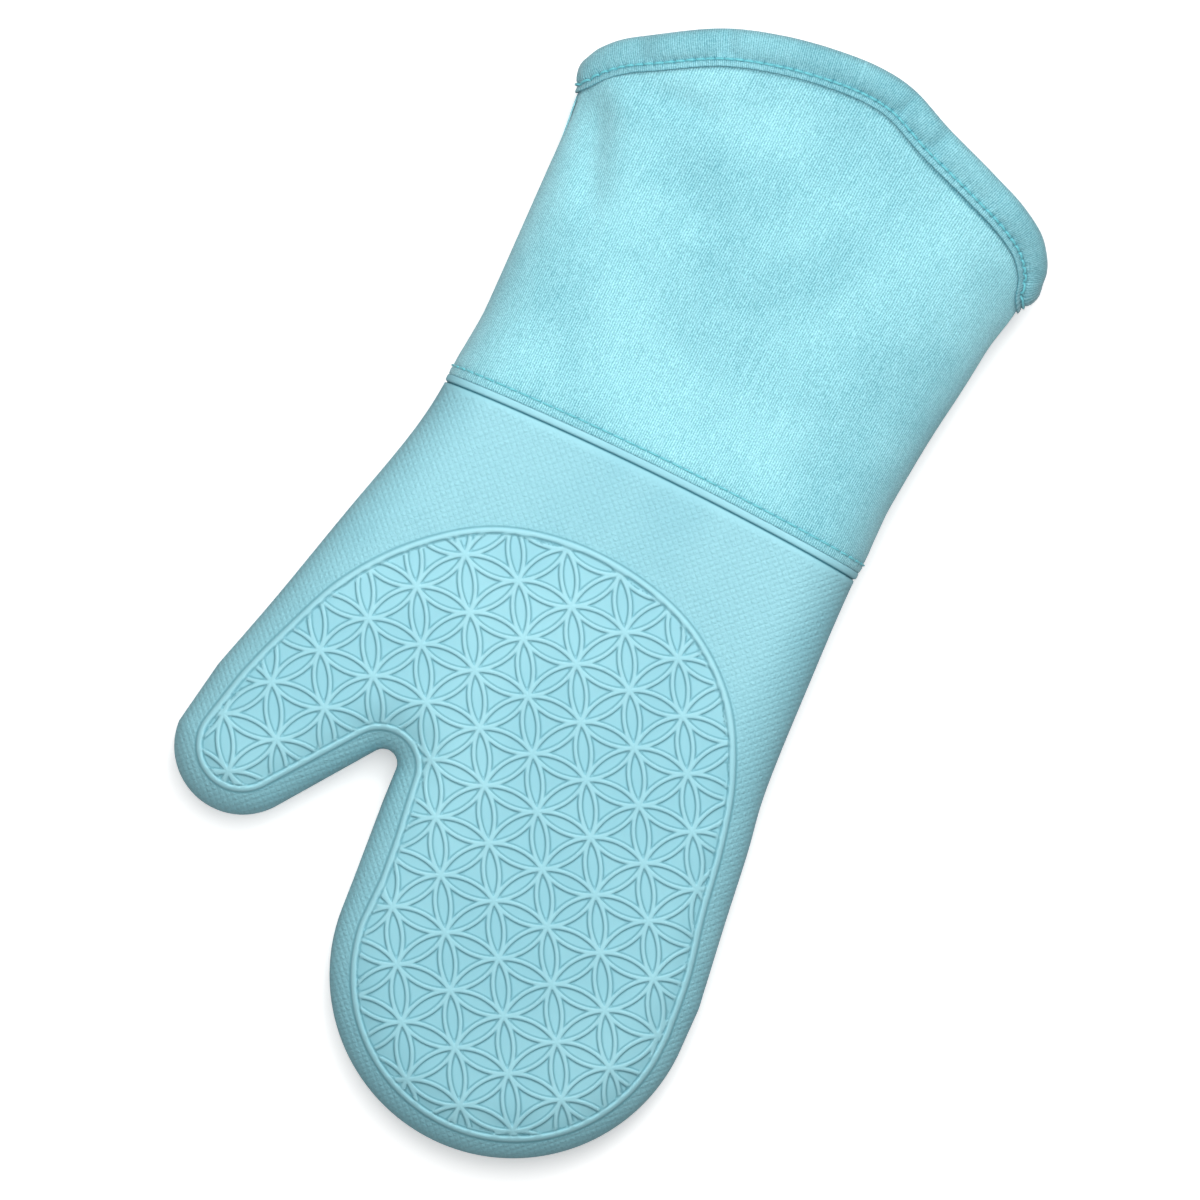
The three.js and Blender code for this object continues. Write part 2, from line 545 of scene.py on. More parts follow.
def grid_faces(rows: int, columns: int, closed_rows: bool, looped: bool = False) -> list[tuple[int, ...]]:
    """Quads of a grid stored row by row.

    Args:
        rows: Number of rows.
        columns: Points in a row.
        closed_rows: Whether each row's end joins its start.
        looped: Whether the last row joins the first.

    Returns:
        The quads.
    """
    faces = []
    for row in range(rows if looped else rows - 1):
        here, there = row * columns, (row + 1) % rows * columns
        for column in range(columns if closed_rows else columns - 1):
            after = (column + 1) % columns
            faces.append((here + column, here + after, there + after, there + column))
    return faces


class PlanMesh:
    """Scattered points in the plan, kept apart from each other and triangulated inside a boundary."""

    CELL = 2.0
    WELD = 1e-5
    SLIVER = 1e-7

    def __init__(self, boundary: Array) -> None:
        """Starts with a boundary, whose points all stay.

        Args:
            boundary: The closed boundary.
        """
        self.points: list[tuple[float, float]] = []
        self.cells: dict[tuple[int, int], list[tuple[float, float]]] = {}
        self.boundary = len(boundary)
        for x, y in boundary:
            self._keep(float(x), float(y))

    def _keep(self, x: float, y: float) -> None:
        """Stores one point."""
        self.points.append((x, y))
        self.cells.setdefault((int(x // self.CELL), int(y // self.CELL)), []).append((x, y))

    def scatter(self, points: Array, clearance: float) -> None:
        """Adds the points that have no neighbour closer than the clearance.

        Args:
            points: Candidates in order of preference.
            clearance: Least distance between neighbours, up to the size of a cell.
        """
        for x, y in points.tolist():
            column, row = int(x // self.CELL), int(y // self.CELL)
            near = (
                other
                for i in (-1, 0, 1)
                for j in (-1, 0, 1)
                for other in self.cells.get((column + i, row + j), ())
            )
            if all((x - a) ** 2 + (y - b) ** 2 >= clearance * clearance for a, b in near):
                self._keep(x, y)

    def triangulate(self) -> tuple[Array, list[tuple[int, ...]], Array]:
        """Triangles of the plan.

        Returns:
            The points, the triangles facing up, and for each point its number on the boundary or -1.
        """
        edges = [(i, (i + 1) % self.boundary) for i in range(self.boundary)]
        made = delaunay_2d_cdt([Vector(point) for point in self.points], edges, [], 1, self.WELD)
        places = np.array([tuple(v) for v in made[0]])
        on_boundary = np.array([next((k for k in ids if k < self.boundary), -1) for ids in made[3]])
        triangles = []
        for face in made[2]:
            a, b, c = (places[i] for i in face)
            area = (b[0] - a[0]) * (c[1] - a[1]) - (b[1] - a[1]) * (c[0] - a[0])
            if abs(area) > self.SLIVER:
                triangles.append(tuple(face) if area > 0 else tuple(face)[::-1])
        return places, triangles, on_boundary


@dataclass
class HalfShell:
    """One face of a layer, palm or back, from the fingertips up to a loop across the mitt."""

    form: MittForm
    side: Side
    edge: Array
    depth: float = 0.0
    edge_gap: float = 0.35

    def __post_init__(self) -> None:
        """Joins the inset outline and the loop into one boundary."""
        line = self.form.outline - self.depth * outward(self.form.outline)
        core = np.flatnonzero(self.below_edge(line, self.edge_gap))
        ring = line[core[0] : core[-1] + 1]
        self.loop_start = len(ring)
        self.boundary = np.vstack((ring, self.edge[:, :2]))

    def edge_y(self, x: Array) -> Array:
        """Y of the loop at x."""
        order = np.argsort(self.edge[:, 0])
        return np.interp(x, self.edge[order, 0], self.edge[order, 1])

    def below_edge(self, points: Array, margin: float) -> Array:
        """Which points lie inside the loop by more than the margin."""
        return points[:, 1] < self.edge_y(points[:, 0]) - margin

    def insets(self, places: Array, number: Array) -> Array:
        """Distance to the outline, made even along the boundary that follows it.

        Args:
            places: Triangulated points.
            number: Their numbers on the boundary.

        Returns:
            The distances.
        """
        inset = self.form.inset(places)
        inset[(number >= 0) & (number < self.loop_start)] = self.depth
        return inset

    def rings(self, insets: tuple[float, ...]) -> list[Array]:
        """Lines that follow the outline, spaced wider the further in they lie.

        Args:
            insets: Their distances to the outline.

        Returns:
            A line for each inset.
        """
        made = []
        for inset in insets:
            line = resample(self.form.outline - inset * outward(self.form.outline), 1.2 + 0.09 * inset)
            made.append(line[self.below_edge(line, 0.5)])
        return made

    def surface(
        self,
        plan: PlanMesh,
        values: Callable[[Array], dict[str, Array]] | None = None,
        lift: Callable[[Array], Array] | None = None,
    ) -> Sheet3D:
        """Lifts the triangulated plan to this layer's height.

        Args:
            plan: The scattered points.
            values: Named values at the vertices.
            lift: Relief that stands on the surface.

        Returns:
            The surface, facing away from the hand space.
        """
        places, triangles, number = plan.triangulate()
        z = self.form.height(places, self.insets(places, number), self.side, self.depth)
        if lift is not None:
            z = z + self.side.value * lift(places)
        on_loop = number >= self.loop_start
        z[on_loop] = self.edge[number[on_loop] - self.loop_start, 2]
        made = Sheet3D(np.column_stack((places, z)), triangles)
        if values is not None:
            made.values = values(places)
        return made if self.side is Side.PALM else made.flipped()


# ------------------------------------------------------------------ the palm's moulded relief


@dataclass
class PalmRelief:
    """Overlapping circles raised on the palm, inside a border bead."""

    pitch: float = 18.85
    row_pitch: float = 15.87
    first_x: float = 11.2
    first_y: float = 4.0
    lattice_rows: tuple[int, int] = (-1, 14)
    lattice_columns: tuple[int, int] = (-7, 7)
    ridge_half: float = 0.78
    ridge_top: float = 0.52
    ridge_height: float = 0.34
    pad_floor: float = -0.26
    bead_half: float = 1.05
    bead_height: float = 0.62
    crease_width: float = 0.22
    foot_share: float = 1.12
    arc_samples: int = 13
    ridge_rows: tuple[float, ...] = (0, -0.62, 0.62, -0.84, 0.84, -1.06, 1.06, -1.3, 1.3, -1.75, 1.75)
    bead_rows: tuple[float, ...] = (0, -0.5, 0.5, -0.78, 0.78, -1.0, 1.0, -1.25, 1.25, -1.7, 1.7)
    upper_line: list[tuple[float, float]] = field(default_factory=lambda: [
        (89.1, -122), (86.8, -102), (82.2, -82), (78.3, -61), (71.9, -39), (59.8, -18), (40.6, -2.6),
        (18.5, 4.7), (-7.4, 5.6), (-31.6, -1), (-51.6, -16), (-67, -36), (-76.3, -58), (-82.1, -75),
        (-86.0, -91.5),
    ])

    def __post_init__(self) -> None:
        """Works out the lattice and the border."""
        self.squash = self.row_pitch / (self.pitch * math.sqrt(3) / 2)
        line = np.vstack((
            smooth_curve(self.upper_line)[:-1],
            Arc(-73.2, -97.8, 13.8).sweep(174, 325, 24),
            Arc(-31.0, -84.6, 12.7).sweep(145, 5, 22),
            smooth_curve([(-17.1, -92), (-15.3, -104), (-13.9, -117)]),
            Arc(37.5, -126.3, 51.6).sweep(186, 356, 70),
        ))
        self.border = resample(closed(line), 1.1)[:-1]
        self.nodes = self._nodes()

    def _nodes(self) -> Array:
        """Centres of all circles that reach the pad.

        Returns:
            The centres, row by row.
        """
        made = []
        for row in range(*self.lattice_rows):
            shift = 0 if row % 2 == 0 else -self.pitch / 2
            for column in range(*self.lattice_columns):
                made.append((self.first_x + shift + column * self.pitch, self.first_y - row * self.row_pitch))
        nodes = np.array(made)
        away = np.linalg.norm(nodes[:, None] - self.border[None, ::4], axis=2).min(1)
        return nodes[points_inside(nodes, self.border) | (away < self.pitch)]

    def border_gap(self, points: Array) -> Array:
        """Distance to the border's centre line, negative inside it."""
        gap = gap_to_line(points, closed(self.border))
        return np.where(points_inside(points, self.border), -gap, gap)

    def _round(self, points: Array) -> Array:
        """Points with the lattice's slight squash taken out."""
        return points / np.array((1, self.squash))

    def circle_gap(self, points: Array) -> Array:
        """Distance to the nearest circle line.

        Args:
            points: Places in the plan.

        Returns:
            The distances.
        """
        flat, nearest = self._round(points), np.full(len(points), np.inf)
        for centre in self._round(self.nodes):
            nearest = np.minimum(nearest, np.abs(np.linalg.norm(flat - centre, axis=1) - self.pitch))
        return nearest

    def circle_points(self) -> Array:
        """Points in rows along each circle line, each kept where its own line is the nearest.

        Returns:
            The points in order of preference.
        """
        made = []
        angles = np.arange(6 * self.arc_samples) * (2 * np.pi / (6 * self.arc_samples))
        spoke = np.column_stack((np.cos(angles), np.sin(angles)))
        centres = self._round(self.nodes)
        for row in self.ridge_rows:
            offset = row * self.ridge_half
            ring = (centres[:, None] + (self.pitch + offset) * spoke).reshape(-1, 2) * (1, self.squash)
            ring = ring[points_inside(ring, self.border)]
            made.append(ring[self.circle_gap(ring) > abs(offset) - 0.02])
        return np.vstack(made)

    def lift(self, points: Array) -> tuple[Array, Array, Array]:
        """Height of the relief, and masks where shade is painted in its creases and a highlight on its
        crests.

        Args:
            points: Places in the plan.

        Returns:
            The height over the plain face, a mask that is 1 in the creases beside ridges, where shade is
            painted, and one that is 1 on top of the ridges and the border, where a highlight is painted.
        """
        gap = self.border_gap(points)
        near = self.circle_gap(points)
        ridge = 1 - smooth_step(near, self.ridge_top, self.ridge_half)
        pad = self.pad_floor + (self.ridge_height - self.pad_floor) * ridge
        bead = 1 - smooth_step(np.abs(gap), 0.5 * self.bead_half, self.bead_half)
        ground = np.where(gap < 0, pad, 0)
        height = ground + (self.bead_height - ground) * bead
        # Painted shade along the feet of the ridges and of the border bead, and a painted highlight mask on
        # their tops.
        foot = bell(near, self.foot_share * self.ridge_half, self.crease_width) * (gap < -self.bead_half)
        rim = bell(np.abs(gap), self.foot_share * self.bead_half, 1.3 * self.crease_width)
        return height, np.maximum(foot, rim), np.maximum(ridge * (gap < 0), bead)


# ------------------------------------------------------------------ silicone glove


def halves(loop: Array, turn: int) -> dict[Side, Array]:
    """A loop round the mitt as its two stretches, both from the outer to the thumb side.

    Args:
        loop: The loop's points, from the outer side over the palm.
        turn: Number of the point at the thumb side.

    Returns:
        The palm's and the back's stretch.
    """
    return {
        Side.PALM: loop[: turn + 1],
        Side.BACK: np.vstack((loop[:1], loop[:turn - 1:-1])),
    }


@dataclass
class SiliconeGlove:
    """The moulded glove: outer skin with its relief, rim bead, sewing flange and inner skin."""

    form: MittForm
    relief: PalmRelief
    wall: float = 2.2
    rim_spacing: float = 1.25
    floor_gap: float = 0.02
    palm_step: float = 2.2
    back_step: float = 5.0
    inner_step: float = 6.0
    outer_insets: tuple[float, ...] = (0.12, 0.4, 0.9, 1.7, 2.8, 4.2, 6.0, 8.2, 11.0, 14.5, 18.5)
    inner_insets: tuple[float, ...] = (2.5, 3.2, 4.5, 6.5, 9.0, 12.0, 16.0, 19.0)
    canvas_row: int = 9
    rim_profile: tuple[tuple[float, float], ...] = (
        (-3.6, 0.0), (-3.35, -0.12), (-3.15, -0.55), (-2.95, -0.65), (-2.78, -0.35), (-2.62, 0.02),
        (-2.4, 0.22), (-2.0, 0.32), (-1.4, 0.35), (-0.85, 0.32), (-0.55, 0.22), (-0.44, 0.06), (-0.41, -0.3),
        (-0.36, -1.05), (0.7, -1.15), (4.0, -1.15), (7.6, -1.2), (8.0, -1.5), (7.6, -1.85), (4.0, -1.95),
        (0.0, -2.1), (-4.0, -2.2),
    )

    def _rim(self, phi: Array) -> Array:
        """Rows of points round the open end, from the outer skin over bead and flange to the inner skin.

        Args:
            phi: Angles round the tube.

        Returns:
            Rows by angles of points.
        """
        length = self.form.cuff_length(phi)
        rows = []
        for along, out in self.rim_profile:
            here, normal, _ = self.form.frames(phi, along / length)
            rows.append(here + out * normal)
        rim = np.stack(rows)
        rim[..., 2] = np.maximum(rim[..., 2], self.floor_gap)
        return rim

    def _values(self, places: Array, side: Side) -> dict[str, Array]:
        """Masks for the finish.

        Args:
            places: Places in the plan.
            side: Palm or back.

        Returns:
            Where the fine emboss shows, and on the palm the creases beside ridges, where shade is painted,
            and the crests, where a highlight is painted.
        """
        if side is Side.BACK:
            return {"emboss": np.ones(len(places))}
        _, crease, crest = self.relief.lift(places)
        emboss = smooth_step(self.relief.border_gap(places), 1.0, 1.8)
        return {"crease": crease, "crest": crest, "emboss": emboss}

    def _scatter_relief(self, plan: PlanMesh) -> None:
        """Scatters rows of points along the border bead, the circle lines and their crossings.

        Args:
            plan: The palm's plan.
        """
        relief = self.relief
        normals = outward(closed(relief.border))[:-1]
        for offset in relief.bead_rows:
            plan.scatter(relief.border + offset * normals, 0.17)
        for points, clearance in ((relief.circle_points(), 0.13), (relief.nodes, 0.2)):
            plan.scatter(points[relief.border_gap(points) < -1.2 * relief.bead_half], clearance)

    def _outer(self, side: Side, edge: Array) -> Sheet3D:
        """The outer skin of one face.

        Args:
            side: Palm or back.
            edge: The rim's row that the skin ends at.

        Returns:
            The skin.
        """
        shell = HalfShell(self.form, side, edge)
        plan = PlanMesh(shell.boundary)
        palm = side is Side.PALM
        if palm:
            self._scatter_relief(plan)
        for inset, line in zip(self.outer_insets, shell.rings(self.outer_insets)):
            if palm:
                line = line[self.relief.border_gap(line) > 1.8 * self.relief.bead_half]
            plan.scatter(line, min(0.75, 0.3 + inset / 4))
        step = self.palm_step if palm else self.back_step
        self._scatter_fill(plan, shell, step, (0.8, 1.5), 0.6 * step)
        lift = (lambda places: self.relief.lift(places)[0]) if palm else None
        return shell.surface(plan, lambda places: self._values(places, side), lift)

    def _inner(self, side: Side, edge: Array) -> Sheet3D:
        """The inner skin of one face, which the wadding lies against.

        Args:
            side: Palm or back.
            edge: The rim's row that the skin ends at.

        Returns:
            The skin.
        """
        shell = HalfShell(self.form, side, edge, self.wall)
        plan = PlanMesh(shell.boundary)
        for line in shell.rings(self.inner_insets):
            plan.scatter(line, 0.8)
        self._scatter_fill(plan, shell, self.inner_step, (1.5, 5.0), 3.5)
        return shell.surface(plan).flipped()

    def _scatter_fill(
        self, plan: PlanMesh, shell: HalfShell, step: float, margins: tuple[float, float], clearance: float
    ) -> None:
        """Scatters an even lattice over what is left of a face.

        Args:
            plan: The plan to fill.
            shell: The face.
            step: Pitch of the lattice.
            margins: Least distance to the loop across the mitt and to the outline.
            clearance: Least distance to points that are there already.
        """
        fill = lattice(self.form.tip_y, self.form.seam_crown, step)
        fill = fill[shell.below_edge(fill, margins[0])]
        inside = points_inside(fill, self.form.outline) & (self.form.inset(fill) > margins[1])
        plan.scatter(fill[inside], clearance)

    def build(self) -> bpy.types.Object:
        """Makes the glove as one closed mesh.

        Returns:
            The glove.
        """
        phi, turn = self.form.loop_angles(0.0, self.rim_spacing)
        rows = self._rim(phi)
        spread = np.array([along for along, _ in self.rim_profile])[:, None] + np.zeros(len(phi))
        # Painted shade: a dark line in the groove beside the rim bead, and a faint one from the bead's end
        # over the flange where the canvas meets it.
        crease = 1.9 * bell(spread, -3.0, 0.28)
        crease[self.canvas_row :] = 0.2 * smooth_step(spread[self.canvas_row :], -0.65, -0.35)
        values = {"crease": crease.ravel(), "emboss": np.zeros(crease.size)}
        faces = grid_faces(len(rows), len(phi), True)
        glove = Sheet3D(rows.reshape(-1, 3), faces, values).flipped()
        outer_edge, inner_edge = halves(rows[0], turn), halves(rows[-1], turn)
        for side in Side:
            glove = glove.joined(self._outer(side, outer_edge[side]))
            glove = glove.joined(self._inner(side, inner_edge[side]))
        return make_object("silicone_glove_skin", glove)


# ------------------------------------------------------------------ canvas cuff


def thick_grid(outer: Array, inner: Array, values: dict[str, Array]) -> Sheet3D:
    """A closed sheet between two grids of points.

    Args:
        outer: Rows by columns of points on the outer face.
        inner: The same for the inner face.
        values: Named values for the grid's points, used on both faces.

    Returns:
        The closed mesh, with its outer face's normals away from the inner one.
    """
    rows, columns = outer.shape[:2]
    start = rows * columns
    back = grid_faces(rows, columns, False)
    faces = [face[::-1] for face in back] + [tuple(i + start for i in face) for face in back]
    rim = list(range(columns))
    rim += [r * columns + columns - 1 for r in range(1, rows)]
    rim += [(rows - 1) * columns + c for c in range(columns - 2, -1, -1)]
    rim += [r * columns for r in range(rows - 2, 0, -1)]
    for here, after in zip(rim, rim[1:] + rim[:1]):
        faces.append((here, after, after + start, here + start))
    points = np.vstack((outer.reshape(-1, 3), inner.reshape(-1, 3)))
    doubled = {}
    for name, value in values.items():
        flat = value.reshape(start, -1) if value.ndim == 3 else value.reshape(start)
        doubled[name] = np.concatenate((flat, flat))
    return Sheet3D(points, faces, doubled)


@dataclass
class Dent:
    """A soft hollow in the palm side of the cuff, or a swelling where its depth is negative."""

    x: float
    y: float
    reach: float
    depth: float
    lean: float = 0.0
    stretch: float = 1.0

    def at(self, points: Array) -> Array:
        """Depth of the hollow.

        Args:
            points: Places in the plan.

        Returns:
            The depth at each of them.
        """
        turn = math.radians(self.lean)
        dx, dy = points[..., 0] - self.x, points[..., 1] - self.y
        along = (dx * math.cos(turn) + dy * math.sin(turn)) / self.stretch
        across = -dx * math.sin(turn) + dy * math.cos(turn)
        return self.depth * np.exp(-(along**2 + across**2) / self.reach**2)


@dataclass
class CanvasCuff:
    """Two canvas panels sewn into a tube, settled by a cloth simulation over their wadding."""

    form: MittForm
    cloth: float = 0.6
    frames_run: int = 20
    sim_columns: int = 150
    sim_rows: int = 56
    most_in: float = 1.2
    most_out: float = 2.0
    smoothing: int = 8
    column_step: float = 0.85
    rows: int = 66
    short_of_mouth: float = 1.8
    floor_gap: float = 0.15
    hem_rows: tuple[tuple[float, float], ...] = (
        (-0.37, -0.15), (-0.34, 0.06), (-0.2, 0.2), (0.2, 0.3), (0.8, 0.38), (1.6, 0.36), (2.1, 0.22),
        (2.4, 0.1), (2.7, 0.06), (3.0, 0.12), (3.4, 0.26), (4.2, 0.36), (5.6, 0.32), (7.4, 0.18),
        (9.5, 0.04),
    )
    stitch_line: float = 2.6
    stitch_pitch: float = 4.1
    dents: tuple[Dent, ...] = (
        Dent(-36.0, 146.5, 4.8, 2.5, 3, 2.4),
        Dent(-60.0, 127.5, 6.4, 2.9, -64, 1.8),
        Dent(-52.0, 110.5, 6.0, 2.1, -64, 1.9),
        Dent(-55.5, 140.0, 6.0, -1.4, -30, 1.5),
        Dent(-43.0, 122.0, 8.0, -0.8, -60, 1.5),
        Dent(-20.0, 122.0, 7.5, 1.1, -35, 2.4),
        Dent(48.0, 150.0, 7.0, 1.1, -60, 2.2),
        Dent(20.0, 92.0, 16.0, 0.7, 30, 2.2),
        Dent(-40.0, 78.0, 14.0, 0.7, 70, 2.0),
        Dent(62.0, 84.0, 10.0, 0.8, 80, 2.6),
    )
    cut: tuple[float, float] = (180.0, 145.0)
    cut_area: float = 22000.0
    moved_angles: Array | None = None
    moved: Array | None = None

    def settle(self) -> None:
        """Runs the cloth simulation and keeps how far the canvas moves along its normals."""
        columns, rows = self.sim_columns, self.sim_rows
        phi = np.arange(columns) * 2 * np.pi / columns
        v = np.linspace(0, 1, rows)
        here, normal, _ = self.form.frames(*np.meshgrid(phi, v))
        self.moved_angles = np.append(phi, 2 * np.pi)
        tube = make_object("cuff_tube", Sheet3D(here.reshape(-1, 3), grid_faces(rows, columns, True)), 1e-6)
        pinned = tube.vertex_groups.new(name="sewn")
        for row in range(rows):
            hold = float(1 - smooth_step(v[row], 0.02, 0.12) + smooth_step(v[row], 0.86, 0.96))
            if hold > 0:
                pinned.add(range(row * columns, (row + 1) * columns), min(1.0, hold), "REPLACE")
        cloth = tube.modifiers.new("drape", "CLOTH")
        chosen = {
            "quality": 6, "mass": 0.25, "tension_stiffness": 18, "compression_stiffness": 14,
            "shear_stiffness": 6, "bending_stiffness": 0.8, "use_pressure": True,
            "uniform_pressure_force": 3.0, "shrink_min": -0.02, "shrink_max": -0.02,
            "vertex_group_mass": pinned.name,
        }
        for name, value in chosen.items():
            setattr(cloth.settings, name, value)
        cloth.settings.effector_weights.gravity = 0
        cloth.collision_settings.use_collision = False
        cloth.point_cache.frame_start, cloth.point_cache.frame_end = 1, self.frames_run
        scene = bpy.context.scene
        for number in range(1, self.frames_run + 1):
            scene.frame_set(number)
        shape = tube.evaluated_get(bpy.context.evaluated_depsgraph_get())
        places = np.empty(len(shape.data.vertices) * 3)
        shape.data.vertices.foreach_get("co", places)
        moved = (places.reshape(rows, columns, 3) / MM - here) * normal
        moved = np.clip(moved.sum(-1), -self.most_in, self.most_out)
        for _ in range(self.smoothing):
            moved = soften(moved, 1)
            moved[1:-1] = (moved[:-2] + 2 * moved[1:-1] + moved[2:]) / 4
        scene.frame_set(1)
        bpy.data.objects.remove(tube, do_unlink=True)
        self.moved = np.hstack((moved, moved[:, :1]))
        LOG.info("cuff settled by %.2f to %.2f mm", moved.min(), moved.max())

    def movement(self, phi: Array, v: Array) -> Array:
        """How far the settled canvas lies outside the plain form.

        Args:
            phi: Angles round the cuff.
            v: Places along it.

        Returns:
            The movement along the normals.
        """
        moved = self.moved
        rows, columns = moved.shape
        column = np.interp(phi % (2 * np.pi), self.moved_angles, np.arange(columns))
        row = np.clip(v, 0, 1) * (rows - 1)
        c0 = np.minimum(column.astype(int), columns - 2)
        r0 = np.minimum(row.astype(int), rows - 2)
        cs, rs = column - c0, row - r0
        low = moved[r0, c0] * (1 - cs) + moved[r0, c0 + 1] * cs
        high = moved[r0 + 1, c0] * (1 - cs) + moved[r0 + 1, c0 + 1] * cs
        return low * (1 - rs) + high * rs

    def hem(self, along: Array) -> Array:
        """Height of the folded hem above the plain cloth."""
        rows = np.array(self.hem_rows)
        return np.interp(along, rows[:, 0], rows[:, 1], right=0.0)

    def seam_line(self) -> tuple[Array, Array, Array]:
        """The stitch line beside the seam.

        Returns:
            Angles, points and outward normals along it.
        """
        phi, _ = self.form.loop_angles(0.02, 1.0)
        here, normal, _ = self.form.frames(phi, self.stitch_line / self.form.cuff_length(phi))
        return phi, here + (self.hem(self.stitch_line) + 0.2) * normal, normal

    def stitch_wave(self, phi: Array) -> Array:
        """Where the stitches of the seam lie.

        Args:
            phi: Angles round the cuff.

        Returns:
            1 at the middle of each stitch and -1 at its holes.
        """
        line_phi, line, _ = self.seam_line()
        length = path_length(closed(line))
        share = np.interp(phi, np.append(line_phi, 2 * np.pi), length / length[-1])
        return np.cos(2 * np.pi * (round(length[-1] / self.stitch_pitch) * share - STITCH_MIDDLE))

    def build(self, side: Side) -> bpy.types.Object:
        """Makes one panel as a closed sheet.

        Args:
            side: Palm or back.

        Returns:
            The panel.
        """
        phi, turn = self.form.loop_angles(0.5, self.column_step)
        phi = np.append(phi, 2 * np.pi)
        phi = phi[: turn + 1] if side is Side.PALM else phi[turn:]
        length = self.form.cuff_length(phi)
        hem = np.array(self.hem_rows)[:, 0]
        share = np.linspace(0, 1, self.rows + 1)[1:, None]
        last = length - self.short_of_mouth
        along = np.vstack((hem[:, None] + 0 * phi, hem[-1] + share * (last - hem[-1])))
        to_mouth = length - along
        v = along / length
        grid_phi = phi + 0 * v
        here, normal, _ = self.form.frames(grid_phi, v)
        wave = self.stitch_wave(phi)
        out = self.movement(grid_phi, v) * smooth_step(to_mouth, 9, 28) * smooth_step(along, 5, 24)
        out = out + self.hem(along) + 0.12 * bell(along, self.stitch_line, 1.3) * (1 + wave)
        if side is Side.PALM:
            for dent in self.dents:
                out = out - dent.at(here) * smooth_step(along, 6, 20) * smooth_step(to_mouth, 8, 14)
        to_side_seam = np.minimum(phi - phi[0], phi[-1] - phi) * 14
        out = out - 0.3 * bell(to_side_seam, 0, 1) * smooth_step(along, 0.5, 4)
        corner = np.abs(np.cos(grid_phi)) ** 12
        out = out - (0.3 - 0.2 * corner) * (1 - smooth_step(to_mouth, 9.6, 13.0))
        outer = here + out[..., None] * normal
        outer[..., 2] = np.maximum(outer[..., 2], self.floor_gap)
        arc = self.form.arc_length(phi, 0.3) + 0 * v
        cloth = np.stack((arc, along, np.full_like(arc, float(side.value))), axis=-1)
        # Painted shade: a faint line at the seam's edge, a dark line under the tape's lower edge and a dark
        # spot at each stitch hole.
        crease = 0.1 * bell(along, -0.2, 0.2) + 1.1 * bell(to_mouth, 10.5, 0.7)
        crease = crease + 0.9 * bell(along, self.stitch_line, 0.45) * np.clip(-wave, 0, 1) ** 4
        sheet = thick_grid(outer, outer - self.cloth * normal, {"cloth": cloth * MM, "crease": crease})
        return make_object(f"cuff_{side.name.lower()}_canvas", sheet)


# ------------------------------------------------------------------ binding and threads


